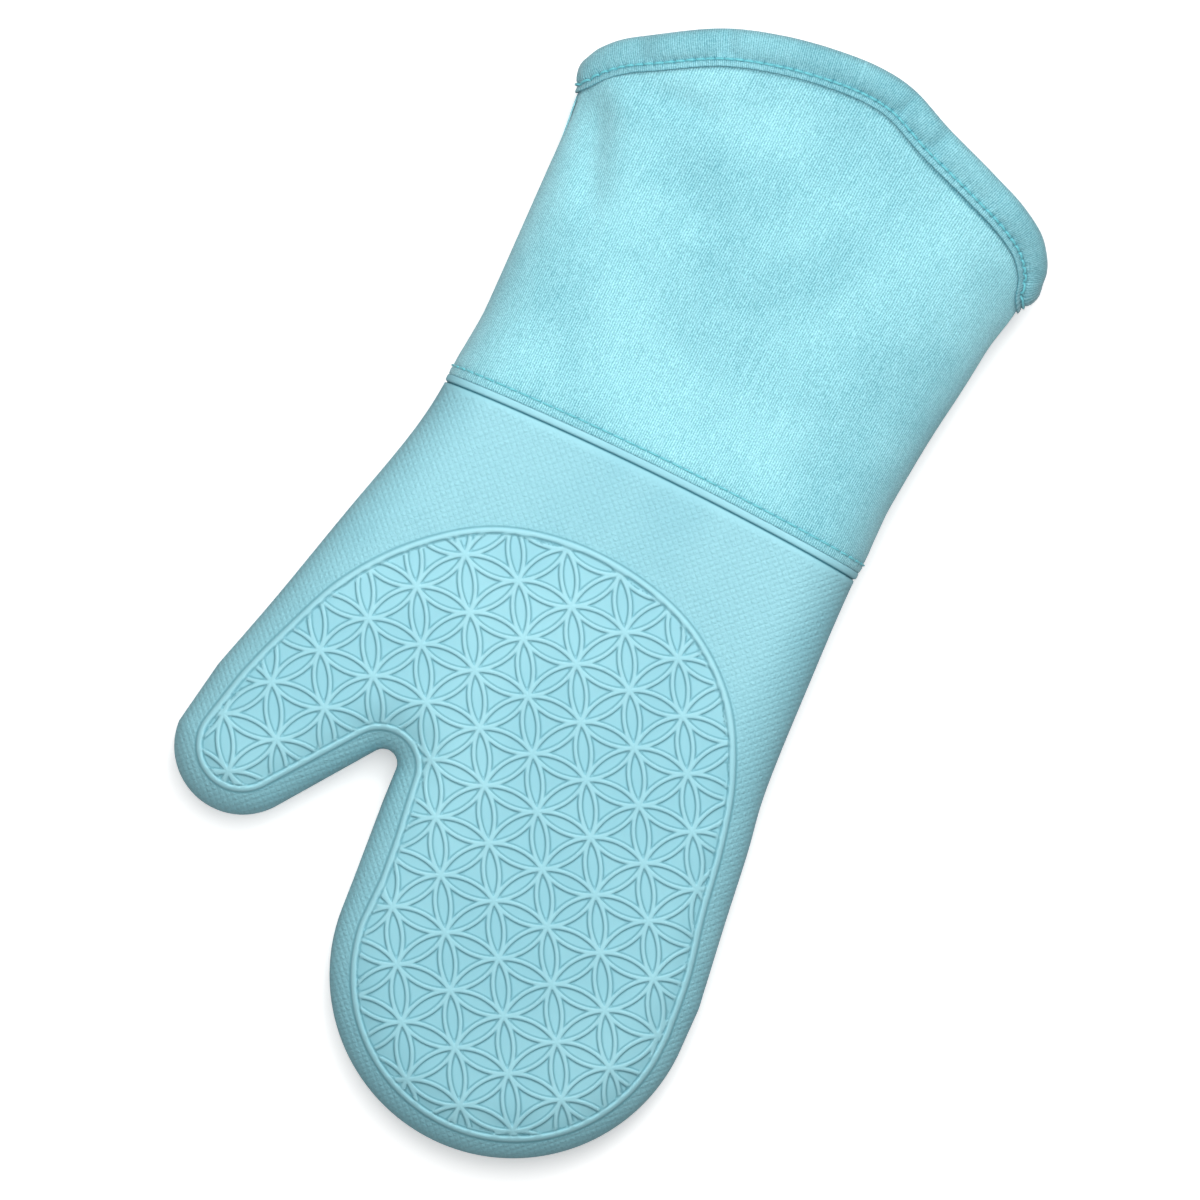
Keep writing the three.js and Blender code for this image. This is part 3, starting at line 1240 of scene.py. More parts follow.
@dataclass
class MouthBinding:
    """Folded tape over the cuff's raw edge, with the crease marks that the sewing leaves."""

    form: MittForm
    cloth: float = 0.7
    profile: tuple[tuple[float, float], ...] = (
        (-10.2, 0.55), (-10.15, 0.85), (-9.8, 1.08), (-9.2, 1.16), (-8.5, 1.02), (-8.0, 0.84), (-7.7, 0.78),
        (-7.3, 0.95), (-6.6, 1.5), (-5.5, 2.15), (-4.2, 2.5), (-2.8, 2.7), (-1.3, 2.65), (0.0, 2.25),
        (1.0, 1.5), (1.7, 0.4), (2.05, -1.0), (2.15, -2.6), (2.0, -4.3), (1.5, -5.8), (0.5, -7.0),
        (-0.9, -7.8), (-2.6, -8.1), (-4.4, -7.9), (-6.0, -7.4), (-7.2, -6.9), (-7.7, -6.8), (-8.2, -6.9),
        (-9.0, -7.1), (-9.8, -7.1), (-10.2, -6.9),
    )
    cut: tuple[float, float] = (380.0, 31.0)
    normal_v: float = 0.985
    edge_v: float = 0.995
    step: float = 0.95
    smoothing: int = 30
    lip_step: float = 0.5
    lip_reach: float = 11.0
    fold_middle: float = -2.6
    shown_above: float = -4.0
    swells_from: float = -7.0
    floor_gap: float = 0.05
    stitch_line: float = -7.7
    stitch_pitch: float = 3.4
    creases: tuple[tuple[float, float, float], ...] = (
        (-33.0, 2.6, 0.85), (29.5, 2.4, 0.9), (43.8, 2.8, 1.0), (-57.0, 3.5, 0.5), (8.0, 4.0, 0.4),
        (66.0, 4.0, 0.4),
    )

    def edge(self, phi: Array) -> tuple[Array, Array, Array]:
        """The cloth's edge at the mouth.

        Args:
            phi: Angles round the cuff.

        Returns:
            Points of the edge, its outward normals and the directions off the edge.
        """
        _, normal, along = self.form.frames(phi, self.normal_v)
        tip = self.form.section(phi, self.edge_v)
        off = np.cross(normal, unit(np.roll(tip, -1, axis=0) - np.roll(tip, 1, axis=0)))
        off *= np.sign((off * along).sum(1))[:, None]
        for _ in range(self.smoothing):
            off = soften(off, 0)
        return tip, normal, unit(off)

    def lip(self, phi: Array) -> tuple[Array, Array]:
        """Lines that leave the edge square to it and follow the cuff's surface, a step at a time.

        Args:
            phi: Angles of the starting points on the edge.

        Returns:
            Points and outward normals, a row for each step away from the edge.
        """
        angle, v = phi.copy(), np.full_like(phi, self.edge_v)
        heading = -self.edge(phi)[2]
        places, normals = [], []
        for _ in range(int(self.lip_reach / self.lip_step) + 1):
            here, normal, _ = self.form.frames(angle, v)
            places.append(here)
            normals.append(normal)
            heading = unit(heading - (heading * normal).sum(1)[:, None] * normal)
            around, along = self.form.slopes(angle, v)
            around, along = around / (2 * self.form.turn_step), along / (2 * self.form.way_step)
            aa, bb, ab = (around**2).sum(1), (along**2).sum(1), (around * along).sum(1)
            ha, hb = (heading * around).sum(1), (heading * along).sum(1)
            scale = self.lip_step / (aa * bb - ab * ab)
            angle = angle + scale * (ha * bb - hb * ab)
            v = v + scale * (hb * aa - ha * ab)
        return np.stack(places), np.stack(normals)

    def on_lip(self, places: Array, along: float) -> Array:
        """One row of the lip's points or normals.

        Args:
            places: The rows.
            along: Place on the tape's profile.

        Returns:
            The row there.
        """
        at = min(max(-along, 0.0) / self.lip_step, len(places) - 1.001)
        low = int(at)
        return places[low] * (1 - at + low) + places[low + 1] * (at - low)

    def _closed_profile(self) -> Array:
        """The tape's section: the shown face, and back along the hidden one inside it.

        Returns:
            Points of the closed section.
        """
        shown = np.array(self.profile)
        normals = outward(shown)
        facing = 1.0 if normals[len(shown) // 2, 0] > 0 else -1.0
        return np.vstack((shown, (shown - self.cloth * normals * facing)[::-1]))

    def swelling(self, arc: Array, tip: Array) -> Array:
        """Share by which the tape's roundness grows or shrinks along its length.

        Args:
            arc: Distance along the edge.
            tip: Points of the edge.

        Returns:
            The share at each point.
        """
        made = 1 + 0.07 * np.sin(arc / 11.3) + 0.05 * np.sin(arc / 5.1 + 1.3)
        for x, reach, depth in self.creases:
            made = made - depth * 0.42 * bell(tip[:, 0], x, reach) * (tip[:, 2] > 18)
        return made

    def _level(self, along: float, out: float, swell: Array, wave: Array, corner: Array) -> Array:
        """Height of one line of the profile over the cloth.

        Args:
            along: The line's place along the profile.
            out: Its plain height.
            swell: Share of roundness at each point of the edge.
            wave: 1 at the middle of each stitch and -1 at its holes.
            corner: 1 at the mouth's two corners.

        Returns:
            The height at each point of the edge.
        """
        spread = 1.2 if along < self.stitch_line else 2.4
        puff = np.clip(1 - abs(along - self.stitch_line) / spread, 0, 1) * np.sign(out - self.fold_middle)
        share = swell if along > self.swells_from else 1
        level = self.fold_middle + (out - self.fold_middle) * share + 0.45 * puff * wave
        return level * (1 - 0.45 * corner) if out > 0 and along < self.swells_from else level

    def build(self) -> bpy.types.Object:
        """Makes the tape as one closed loop of folded cloth.

        Returns:
            The tape.
        """
        phi, _ = self.form.loop_angles(self.edge_v, self.step)
        tip, normal, off = self.edge(phi)
        lip, lip_normal = self.lip(phi)
        length = path_length(closed(tip))
        arc, around = length[:-1], length[-1]
        swell = self.swelling(arc, tip)
        ribs = np.abs((arc - np.interp(np.pi / 2, phi, arc) + arc[-1] / 2) % arc[-1] - arc[-1] / 2)
        line = self._closed_profile()
        corner = np.abs(np.cos(phi)) ** 12
        wave = np.cos(2 * np.pi * (round(around / self.stitch_pitch) * arc / around - STITCH_MIDDLE))
        rows, girth, dark = [], [], []
        for (along, out), gone in zip(line, path_length(line)):
            level = self._level(along, out, swell, wave, corner)
            reach = along + 0.05 * wave * (along < -9)
            shown = out > self.shown_above
            if shown and along < 0:
                start, up = self.on_lip(lip, along), self.on_lip(lip_normal, along)
                rows.append(start + level[:, None] * up + (reach - along)[:, None] * off)
            else:
                rows.append(tip + reach[:, None] * off + level[:, None] * normal)
            girth.append(np.column_stack((ribs, np.full_like(arc, gone), 0 * arc)))
            # Painted shade: a dark line along the tape's lower edge and a dark spot at each stitch hole.
            hole = 1.1 * bell(along, self.stitch_line, 0.6) * np.clip(-wave, 0, 1) ** 4
            dark.append((0.9 * bell(along, self.profile[0][0], 0.2) + hole) * shown)
        points = np.stack(rows)
        points[..., 2] = np.maximum(points[..., 2], self.floor_gap)
        values = {"cloth": np.vstack(girth) * MM, "crease": np.concatenate(dark)}
        faces = grid_faces(len(line), len(phi), True, True)
        return make_object("mouth_tape", Sheet3D(points.reshape(-1, 3), faces, values).flipped())


@dataclass
class ThreadRow:
    """A row of lockstitches: one thread that runs over the cloth and dips into it at each hole."""

    pitch: float
    shown: float = 0.66
    radius: float = 0.36
    dip: float = 0.95
    plies: int = 3
    ply_relief: float = 0.11
    sides: int = 12
    per_stitch: int = 14
    floor_gap: float = 0.02

    def build(self, name: str, base: Array, normal: Array, measure: Array | None = None) -> bpy.types.Object:
        """Makes the thread along a closed line on the cloth.

        Args:
            name: The object's name.
            base: Points of the line on the cloth's surface.
            normal: Outward normals there.
            measure: A line beside it along which the stitches are counted off, if not the line itself.

        Returns:
            The thread as one closed tube.
        """
        length = path_length(closed(base if measure is None else measure))
        count = int(round(length[-1] / self.pitch)) * self.per_stitch
        at = np.arange(count) * length[-1] / count
        place, up = at_lengths(at, length, closed(base)), unit(at_lengths(at, length, closed(normal)))
        share = (np.arange(count) % self.per_stitch) / self.per_stitch
        over = np.clip(share / self.shown, 0, 1)
        under = np.clip((share - self.shown) / (1 - self.shown), 0, 1)
        rise = 0.62 * self.radius * np.sin(np.pi * over) ** 0.5
        height = np.where(share < self.shown, rise, -self.dip * np.sin(np.pi * under))
        path = place + height[:, None] * up
        tangent = unit(np.roll(path, -1, axis=0) - np.roll(path, 1, axis=0))
        across = unit(np.cross(tangent, up))
        lift = np.cross(across, tangent)
        turns = np.arange(self.sides) * 2 * np.pi / self.sides
        twist = 2 * np.pi * at / (self.pitch * 0.5)
        lobe = 1 + self.ply_relief * np.cos(self.plies * (turns[None] - twist[:, None] / self.plies))
        ring = np.cos(turns)[None, :, None] * across[:, None] + np.sin(turns)[None, :, None] * lift[:, None]
        points = path[:, None] + self.radius * lobe[..., None] * ring
        points[..., 2] = np.maximum(points[..., 2], self.floor_gap)
        faces = [face[:1] + face[:0:-1] for face in grid_faces(count, self.sides, True, True)]
        return make_object(name, Sheet3D(points.reshape(-1, 3), faces), 1e-4)


# ------------------------------------------------------------------ wadding and lining


@dataclass
class InnerPanel:
    """A panel of the inner glove, from the fingertips to the mouth, cut to the mitt's outline."""

    form: MittForm
    name: str
    depth: float
    thickness: float
    step: float
    quilt: float = 0.0
    quilt_pitch: float = 27.0
    quilt_lean: float = 0.62
    short_of_mouth: float = 2.0
    edge_points: int = 150
    rest_gap: float = 0.12
    ring_gaps: tuple[float, ...] = (0.15, 0.5, 1.1, 2.0, 3.2, 5.0, 7.5, 10.5, 13.5)
    cut: tuple[float, float] = (190.0, 360.0)
    cut_area: float = 51000.0
    dents: tuple[Dent, ...] = ()

    def sink(self, places: Array, inset: Array, to_mouth: Array) -> Array:
        """How far the cuff's hollows press the palm panel down.

        Args:
            places: Places in the plan.
            inset: Their distances to the outline.
            to_mouth: Their distances to the panel's edge at the mouth.

        Returns:
            The depth.
        """
        depth = sum((dent.at(places) for dent in self.dents), np.zeros(len(places)))
        return depth * smooth_step(inset, self.depth, self.depth + 3) * smooth_step(to_mouth, 4, 10)

    def puff(self, places: Array) -> Array:
        """How far the quilting lets the panel rise.

        Args:
            places: Places in the plan.

        Returns:
            0 on the stitch lines and 1 in the middle of a diamond.
        """
        if not self.quilt:
            return np.zeros(len(places))
        x, lean = places[:, 0], places[:, 1] * self.quilt_lean
        a, b = (x + lean) / self.quilt_pitch, (x - lean) / self.quilt_pitch
        return np.sqrt(np.abs(np.sin(np.pi * a) * np.sin(np.pi * b)))

    def _edge(self, side: Side) -> Array:
        """The panel's edge at the mouth.

        Args:
            side: Palm or back.

        Returns:
            Points from the outer to the thumb side.
        """
        phi = np.linspace(0 if side is Side.PALM else 2 * np.pi, np.pi, self.edge_points)
        edge = self.form.section(phi, 1 - self.short_of_mouth / self.form.cuff_length(phi), self.depth)
        middle = edge[:, 0].mean()
        edge[:, 0] = middle + (edge[:, 0] - middle) * (1 - self.depth / (np.ptp(edge[:, 0]) / 2))
        return edge

    def build(self, side: Side) -> bpy.types.Object:
        """Makes one panel as a closed sheet.

        Args:
            side: Palm or back.

        Returns:
            The panel.
        """
        form = self.form
        shell = HalfShell(form, side, self._edge(side), self.depth)
        plan = PlanMesh(shell.boundary)
        for line in shell.rings(tuple(self.depth + gap for gap in self.ring_gaps)):
            plan.scatter(line, 0.6)
        fill = lattice(form.tip_y, form.mouth_y, self.step)
        fill = fill[points_inside(fill, shell.boundary)]
        plan.scatter(fill[form.inset(fill) > self.depth + 1.5], 0.62 * self.step)
        places, triangles, number = plan.triangulate()
        inset = shell.insets(places, number)
        to_mouth = shell.edge_y(places[:, 0]) - places[:, 1]
        near_side = smooth_step(inset, self.depth + 2, self.depth + 9) * smooth_step(to_mouth, 6, 16)
        deep = self.depth + self.quilt * self.puff(places) * near_side
        shift = side.value * self.rest_gap - (self.sink(places, inset, to_mouth) if side is Side.PALM else 0)
        outer = form.height(places, inset, side, deep) + shift
        inner = form.height(places, inset, side, deep + self.thickness) + shift
        # Where a triangle's corners all meet the other face, it would lie in both faces at once.
        apart = np.abs(outer - inner) > MERGE
        triangles = [face for face in triangles if apart[list(face)].any()]
        start = len(places)
        faces = triangles + [tuple(i + start for i in face)[::-1] for face in triangles]
        at = {int(k): i for i, k in enumerate(number) if k >= 0}
        walk = [at[k] for k in (*range(shell.loop_start - 1, len(shell.boundary)), 0)]
        faces += [(after, here, here + start, after + start) for here, after in zip(walk, walk[1:])]
        plain = np.column_stack((places, np.zeros(start)))
        values = {"cloth": np.vstack((plain, plain)) * MM, "quilt": np.tile(self.puff(places), 2)}
        vertices = np.vstack((np.column_stack((places, outer)), np.column_stack((places, inner))))
        sheet = Sheet3D(vertices, faces, values)
        sheet = sheet if side is Side.PALM else sheet.flipped()
        return make_object(self.name.format(side=side.name.lower()), sheet)


# ------------------------------------------------------------------ finishes


Value = float | bpy.types.NodeSocket
Colour = tuple[float, float, float, float]


def srgb(red: float, green: float, blue: float) -> Colour:
    """A colour given in display values, as linear light.

    Args:
        red: Red from 0 to 255.
        green: Green.
        blue: Blue.

    Returns:
        The colour with full alpha.
    """
    made = []
    for part in (red, green, blue):
        share = part / 255
        made.append(share / 12.92 if share <= 0.04045 else ((share + 0.055) / 1.055) ** 2.4)
    return (made[0], made[1], made[2], 1.0)


class Tree:
    """Adds nodes to a shader tree and links them."""

    def __init__(self, tree: bpy.types.NodeTree) -> None:
        """Keeps the tree and a counter that spreads its nodes out."""
        self.tree = tree
        self.made = 0

    def node(self, kind: str, **settings: object) -> bpy.types.Node:
        """A new node.

        Args:
            kind: Its type.
            settings: Properties to set on it.

        Returns:
            The node.
        """
        made = self.tree.nodes.new(kind)
        made.location = (220 * (self.made % 8), -260 * (self.made // 8))
        self.made += 1
        for name, value in settings.items():
            setattr(made, name, value)
        return made

    def feed(self, socket: bpy.types.NodeSocket, value: object) -> None:
        """Links a socket to another, or gives it a value.

        Args:
            socket: The socket to feed.
            value: A socket or a plain value.
        """
        if isinstance(value, bpy.types.NodeSocket):
            self.tree.links.new(value, socket)
        else:
            socket.default_value = value

    def math(self, operation: str, *values: Value, clamp: bool = False) -> bpy.types.NodeSocket:
        """A Math node.

        Args:
            operation: What it does.
            values: Its inputs.
            clamp: Whether the result stays from 0 to 1.

        Returns:
            The result.
        """
        made = self.node("ShaderNodeMath", operation=operation, use_clamp=clamp)
        for socket, value in zip(made.inputs, values):
            self.feed(socket, value)
        return made.outputs[0]

    def span(self, *given: Value) -> bpy.types.NodeSocket:
        """A value moved from one span to another with smooth ends.

        Args:
            given: The value, the low and high end of its span, and those of the new span.

        Returns:
            The moved value.
        """
        made = self.node("ShaderNodeMapRange", interpolation_type="SMOOTHSTEP")
        for name, value in zip(("Value", "From Min", "From Max", "To Min", "To Max"), given):
            self.feed(made.inputs[name], value)
        return made.outputs["Result"]

    def noise(self, vector: bpy.types.NodeSocket, scale: float, detail: float = 3.0) -> bpy.types.NodeSocket:
        """A Noise Texture.

        Args:
            vector: Where it is read.
            scale: How fine it is.
            detail: How many finer layers it has.

        Returns:
            Its value.
        """
        made = self.node("ShaderNodeTexNoise")
        self.feed(made.inputs["Vector"], vector)
        made.inputs["Scale"].default_value = scale
        made.inputs["Detail"].default_value = detail
        return made.outputs["Fac"]

    def mix(self, share: Value, first: object, second: object) -> bpy.types.NodeSocket:
        """A mix of two colours.

        Args:
            share: Share of the second.
            first: The first.
            second: The second.

        Returns:
            The mixed colour.
        """
        made = self.node("ShaderNodeMix", data_type="RGBA")
        self.feed(made.inputs["Factor"], share)
        self.feed(made.inputs[6], first)
        self.feed(made.inputs[7], second)
        return made.outputs[2]

    def attribute(self, name: str) -> bpy.types.Node:
        """An Attribute node that reads values stored on the mesh."""
        return self.node("ShaderNodeAttribute", attribute_name=name)

    def group(self, made: bpy.types.NodeTree, **values: object) -> bpy.types.Node:
        """A placed node group.

        Args:
            made: The group.
            values: Its inputs; an underscore in a name stands for a space.

        Returns:
            The group's node.
        """
        placed = self.node("ShaderNodeGroup", node_tree=made)
        for name, value in values.items():
            self.feed(placed.inputs[name.replace("_", " ")], value)
        return placed


class Effects:
    """Shader node groups that several finishes share, each built once."""

    def __init__(self) -> None:
        """Builds every group."""
        self.weave = self._weave()
        self.knurl = self._knurl()
        self.mottle = self._mottle()

    @staticmethod
    def _start(
        name: str, inputs: dict[str, float | None], outputs: tuple[str, ...]
    ) -> tuple[Tree, dict, dict]:
        """A new group with its sockets.

        Args:
            name: The group's name.
            inputs: Input names with their starting values, None for a vector.
            outputs: Output names, all of them values.

        Returns:
            The tree, its input sockets by name and its output sockets by name.
        """
        made = bpy.data.node_groups.new(name, "ShaderNodeTree")
        for label, value in inputs.items():
            kind = "NodeSocketVector" if value is None else "NodeSocketFloat"
            socket = made.interface.new_socket(label, in_out="INPUT", socket_type=kind)
            if value is not None:
                socket.default_value = value
        for label in outputs:
            made.interface.new_socket(label, in_out="OUTPUT", socket_type="NodeSocketFloat")
        tree = Tree(made)
        source, sink = tree.node("NodeGroupInput"), tree.node("NodeGroupOutput")
        return tree, {s.name: s for s in source.outputs}, {s.name: s for s in sink.inputs}

    def _weave(self) -> bpy.types.NodeTree:
        """Ribbed cloth: warp cords along Y crossed by finer picks, with slubs and uneven spacing.

        Returns:
            The group, with outputs Height, Groove (1 between the cords) and Slub (slow streaks).
        """
        tree, given, sink = self._start(
            "ribbed_weave",
            {"Vector": None, "Rib Pitch": 0.8, "Pick Pitch": 0.5, "Unevenness": 0.25},
            ("Height", "Groove", "Slub"),
        )
        scaled = tree.node("ShaderNodeVectorMath", operation="SCALE")
        tree.feed(scaled.inputs[0], given["Vector"])
        scaled.inputs["Scale"].default_value = 1 / MM
        split = tree.node("ShaderNodeSeparateXYZ")
        tree.feed(split.inputs[0], scaled.outputs[0])
        wander = tree.noise(scaled.outputs[0], 0.35, 2.0)
        shift = tree.math("MULTIPLY", tree.math("SUBTRACT", wander, 0.5), given["Unevenness"])
        across = tree.math("DIVIDE", tree.math("ADD", split.outputs[0], shift), given["Rib Pitch"])
        cord = tree.math("ABSOLUTE", tree.math("SINE", tree.math("MULTIPLY", across, math.pi)))
        cord = tree.math("POWER", cord, 0.6)
        parity = tree.math("MULTIPLY", tree.math("FLOOR", across), 0.5)
        down = tree.math("ADD", tree.math("DIVIDE", split.outputs[1], given["Pick Pitch"]), parity)
        pick = tree.math("ABSOLUTE", tree.math("SINE", tree.math("MULTIPLY", down, math.pi)))
        stretched = tree.node("ShaderNodeMapping")
        tree.feed(stretched.inputs["Vector"], scaled.outputs[0])
        stretched.inputs["Scale"].default_value = (1.3, 0.09, 1.0)
        slub = tree.noise(stretched.outputs[0], 1.0, 3.0)
        weight = tree.span(slub, 0.35, 0.7, 0.72, 1.0)
        body = tree.math("MULTIPLY", cord, tree.math("MULTIPLY_ADD", pick, 0.38, 0.62))
        tree.feed(sink["Height"], tree.math("MULTIPLY", body, weight))
        tree.feed(sink["Groove"], tree.math("SUBTRACT", 1.0, cord, clamp=True))
        tree.feed(sink["Slub"], slub)
        return tree.tree

    def _knurl(self) -> bpy.types.NodeTree:
        """Staggered rounded bumps, with shallow valleys between them that run both ways at 45 degrees.

        Returns:
            The group, with the outputs Height and Valley.
        """
        tree, given, sink = self._start("fine_emboss", {"Vector": None, "Pitch": 2.0}, ("Height", "Valley"))
        split = tree.node("ShaderNodeSeparateXYZ")
        tree.feed(split.inputs[0], given["Vector"])
        reach = tree.math("MULTIPLY", given["Pitch"], MM * math.sqrt(2))
        waves = []
        for operation in ("ADD", "SUBTRACT"):
            lean = tree.math("DIVIDE", tree.math(operation, split.outputs[0], split.outputs[1]), reach)
            waves.append(tree.math("ABSOLUTE", tree.math("SINE", tree.math("MULTIPLY", lean, math.pi))))
        height = tree.math("POWER", tree.math("MULTIPLY", *waves), 0.85)
        tree.feed(sink["Height"], height)
        tree.feed(sink["Valley"], tree.math("SUBTRACT", 1.0, height, clamp=True))
        return tree.tree

    def _mottle(self) -> bpy.types.NodeTree:
        """Slow cloudiness and fine grain together.

        Returns:
            The group, with the outputs Cloud and Grain.
        """
        tree, given, sink = self._start(
            "mottle", {"Vector": None, "Cloud Scale": 14.0, "Grain Scale": 900.0}, ("Cloud", "Grain")
        )
        for label, size, detail in (("Cloud", "Cloud Scale", 3.0), ("Grain", "Grain Scale", 2.0)):
            made = tree.node("ShaderNodeTexNoise")
            tree.feed(made.inputs["Vector"], given["Vector"])
            tree.feed(made.inputs["Scale"], given[size])
            made.inputs["Detail"].default_value = detail
            tree.feed(sink[label], made.outputs["Fac"])
        return tree.tree


@dataclass(frozen=True)
class Finish:
    """What every finish shares: a name and a way to start its material."""

    name: str

    def start(
        self, effects: Effects, cloud_scale: float, grain_scale: float
    ) -> tuple[
        bpy.types.Material, Tree, bpy.types.Node, bpy.types.NodeSocket, dict[str, bpy.types.NodeSocket]
    ]:
        """A fresh material with its unevenness.

        Args:
            effects: The shared node groups.
            cloud_scale: How fine the slow cloudiness is.
            grain_scale: How fine the grain is.

        Returns:
            The material, its tree, its Principled node, the object's own coordinates and the outputs of
            the unevenness.
        """
        material = bpy.data.materials.new(self.name)
        material.use_nodes = True
        tree = Tree(material.node_tree)
        shader = material.node_tree.nodes["Principled BSDF"]
        place = tree.node("ShaderNodeTexCoord").outputs["Object"]
        mottle = tree.group(effects.mottle, Vector=place, Cloud_Scale=cloud_scale, Grain_Scale=grain_scale)
        return material, tree, shader, place, mottle.outputs

    @staticmethod
    def bump(tree: Tree, height: bpy.types.NodeSocket, distance: float, normal: object = None) -> object:
        """A Bump node.

        Args:
            tree: Where it is placed.
            height: What it reads.
            distance: Its depth in millimetres.
            normal: The normal it starts from, if not the surface's own.

        Returns:
            The bumped normal.
        """
        made = tree.node("ShaderNodeBump")
        tree.feed(made.inputs["Height"], height)
        made.inputs["Distance"].default_value = distance * MM
        if normal is not None:
            tree.feed(made.inputs["Normal"], normal)
        return made.outputs["Normal"]


@dataclass(frozen=True)
class SiliconeFinish(Finish):
    """Soft moulded silicone with a satin skin and a fine emboss, with painted shade in its creases and emboss
    valleys and a painted highlight on its crests.
    """

    base: Colour = srgb(143, 198, 209)
    # Colour of the painted shade in the creases and the emboss valleys.
    deep: Colour = srgb(52, 116, 130)
    cloud: Colour = srgb(136, 192, 204)
    # Colour of the painted highlight on the ridge tops and the border bead.
    worn: Colour = srgb(176, 223, 231)
    emboss_pitch: float = 1.75
    emboss_depth: float = 0.22
    crest_highlight_share: float = 0.24
    crease_share: float = 0.6

    def build(self, effects: Effects) -> bpy.types.Material:
        """Makes the material.

        Args:
            effects: The shared node groups.

        Returns:
            The material.
        """
        material, tree, shader, place, mottle = self.start(effects, 22.0, 1400.0)
        knurl = tree.group(effects.knurl, Vector=place, Pitch=self.emboss_pitch).outputs
        masks = ("emboss", "crease", "crest")
        emboss, crease, crest = (tree.attribute(name).outputs["Fac"] for name in masks)
        colour = tree.mix(tree.span(mottle["Cloud"], 0.35, 0.68, 0.0, 1.0), self.base, self.cloud)
        # Painted shade in the emboss valleys, its strength varying at random with the grain.
        speckle = tree.span(mottle["Grain"], 0.3, 0.7, 0.0, 0.14)
        valley = tree.math("MULTIPLY", knurl["Valley"], tree.math("MULTIPLY", emboss, speckle))
        colour = tree.mix(valley, colour, self.deep)
        # Painted highlight on the ridge tops and the border bead.
        colour = tree.mix(tree.math("MULTIPLY", crest, self.crest_highlight_share, clamp=True), colour, self.worn)
        # Painted shade in the creases beside the ridges, the bead and the rim.
        colour = tree.mix(tree.math("MULTIPLY", crease, self.crease_share, clamp=True), colour, self.deep)
        tree.feed(shader.inputs["Base Color"], colour)
        tree.feed(shader.inputs["Roughness"], tree.span(mottle["Cloud"], 0.3, 0.7, 0.5, 0.6))
        uneven = tree.span(mottle["Grain"], 0.3, 0.7, 0.45, 1.1)
        lifted = tree.math("MULTIPLY", knurl["Height"], tree.math("MULTIPLY", emboss, uneven))
        normal = self.bump(tree, lifted, self.emboss_depth)
        tree.feed(shader.inputs["Normal"], self.bump(tree, mottle["Grain"], 0.02, normal))
        shader.inputs["Specular IOR Level"].default_value = 0.26
        return material


@dataclass(frozen=True)
class WovenFinish(Finish):
    """Ribbed cotton cloth, with painted shade between its cords and along the lines that the mesh marks."""

    base: Colour
    # The darker colour serves the painted shade and the cloth's own uneven tone alike.
    deep: Colour
    rib_pitch: float = 0.8
    pick_pitch: float = 0.5
    relief: float = 0.16
    sheen: float = 0.25

    def build(self, effects: Effects) -> bpy.types.Material:
        """Makes the material.

        Args:
            effects: The shared node groups.

        Returns:
            The material.
        """
        material, tree, shader, _, mottle = self.start(effects, 24.0, 1900.0)
        cloth = tree.attribute("cloth").outputs["Vector"]
        weave = tree.group(effects.weave, Vector=cloth, Rib_Pitch=self.rib_pitch,
                           Pick_Pitch=self.pick_pitch, Unevenness=0.5).outputs
        # Painted shade between the cords and along the marked lines; the slubs, cloudiness and grain added
        # after it are the cloth's own uneven tone.
        crease = tree.math("MULTIPLY", tree.attribute("crease").outputs["Fac"], 0.8)
        dark = tree.math("MULTIPLY_ADD", weave["Groove"], 0.7, crease)
        dark = tree.math("ADD", dark, tree.span(weave["Slub"], 0.3, 0.72, 0.14, 0.0))
        dark = tree.math("ADD", dark, tree.span(mottle["Cloud"], 0.3, 0.7, 0.24, 0.0))
        dark = tree.math("ADD", dark, tree.span(mottle["Grain"], 0.35, 0.65, 0.3, -0.08), clamp=True)
        tree.feed(shader.inputs["Base Color"], tree.mix(dark, self.base, self.deep))
        tree.feed(shader.inputs["Roughness"], tree.span(weave["Groove"], 0.0, 1.0, 0.78, 0.95))
        normal = self.bump(tree, weave["Height"], self.relief)
        tree.feed(shader.inputs["Normal"], self.bump(tree, mottle["Grain"], 0.03, normal))
        shader.inputs["Specular IOR Level"].default_value = 0.25
        shader.inputs["Sheen Weight"].default_value = self.sheen
        shader.inputs["Sheen Roughness"].default_value = 0.5
        return material


@dataclass(frozen=True)
class ThreadFinish(Finish):
    """Twisted polyester sewing thread."""

    base: Colour = srgb(108, 196, 206)
    deep: Colour = srgb(58, 142, 156)

    def build(self, effects: Effects) -> bpy.types.Material:
        """Makes the material.

        Args:
            effects: The shared node groups.

        Returns:
            The material.
        """
        material, tree, shader, _, mottle = self.start(effects, 120.0, 5000.0)
        share = tree.span(mottle["Grain"], 0.35, 0.65, 0.0, 0.55)
        tree.feed(shader.inputs["Base Color"], tree.mix(share, self.base, self.deep))
        tree.feed(shader.inputs["Roughness"], tree.span(mottle["Cloud"], 0.3, 0.7, 0.42, 0.6))
        tree.feed(shader.inputs["Normal"], self.bump(tree, mottle["Grain"], 0.03))
        shader.inputs["Sheen Weight"].default_value = 0.2
        return material


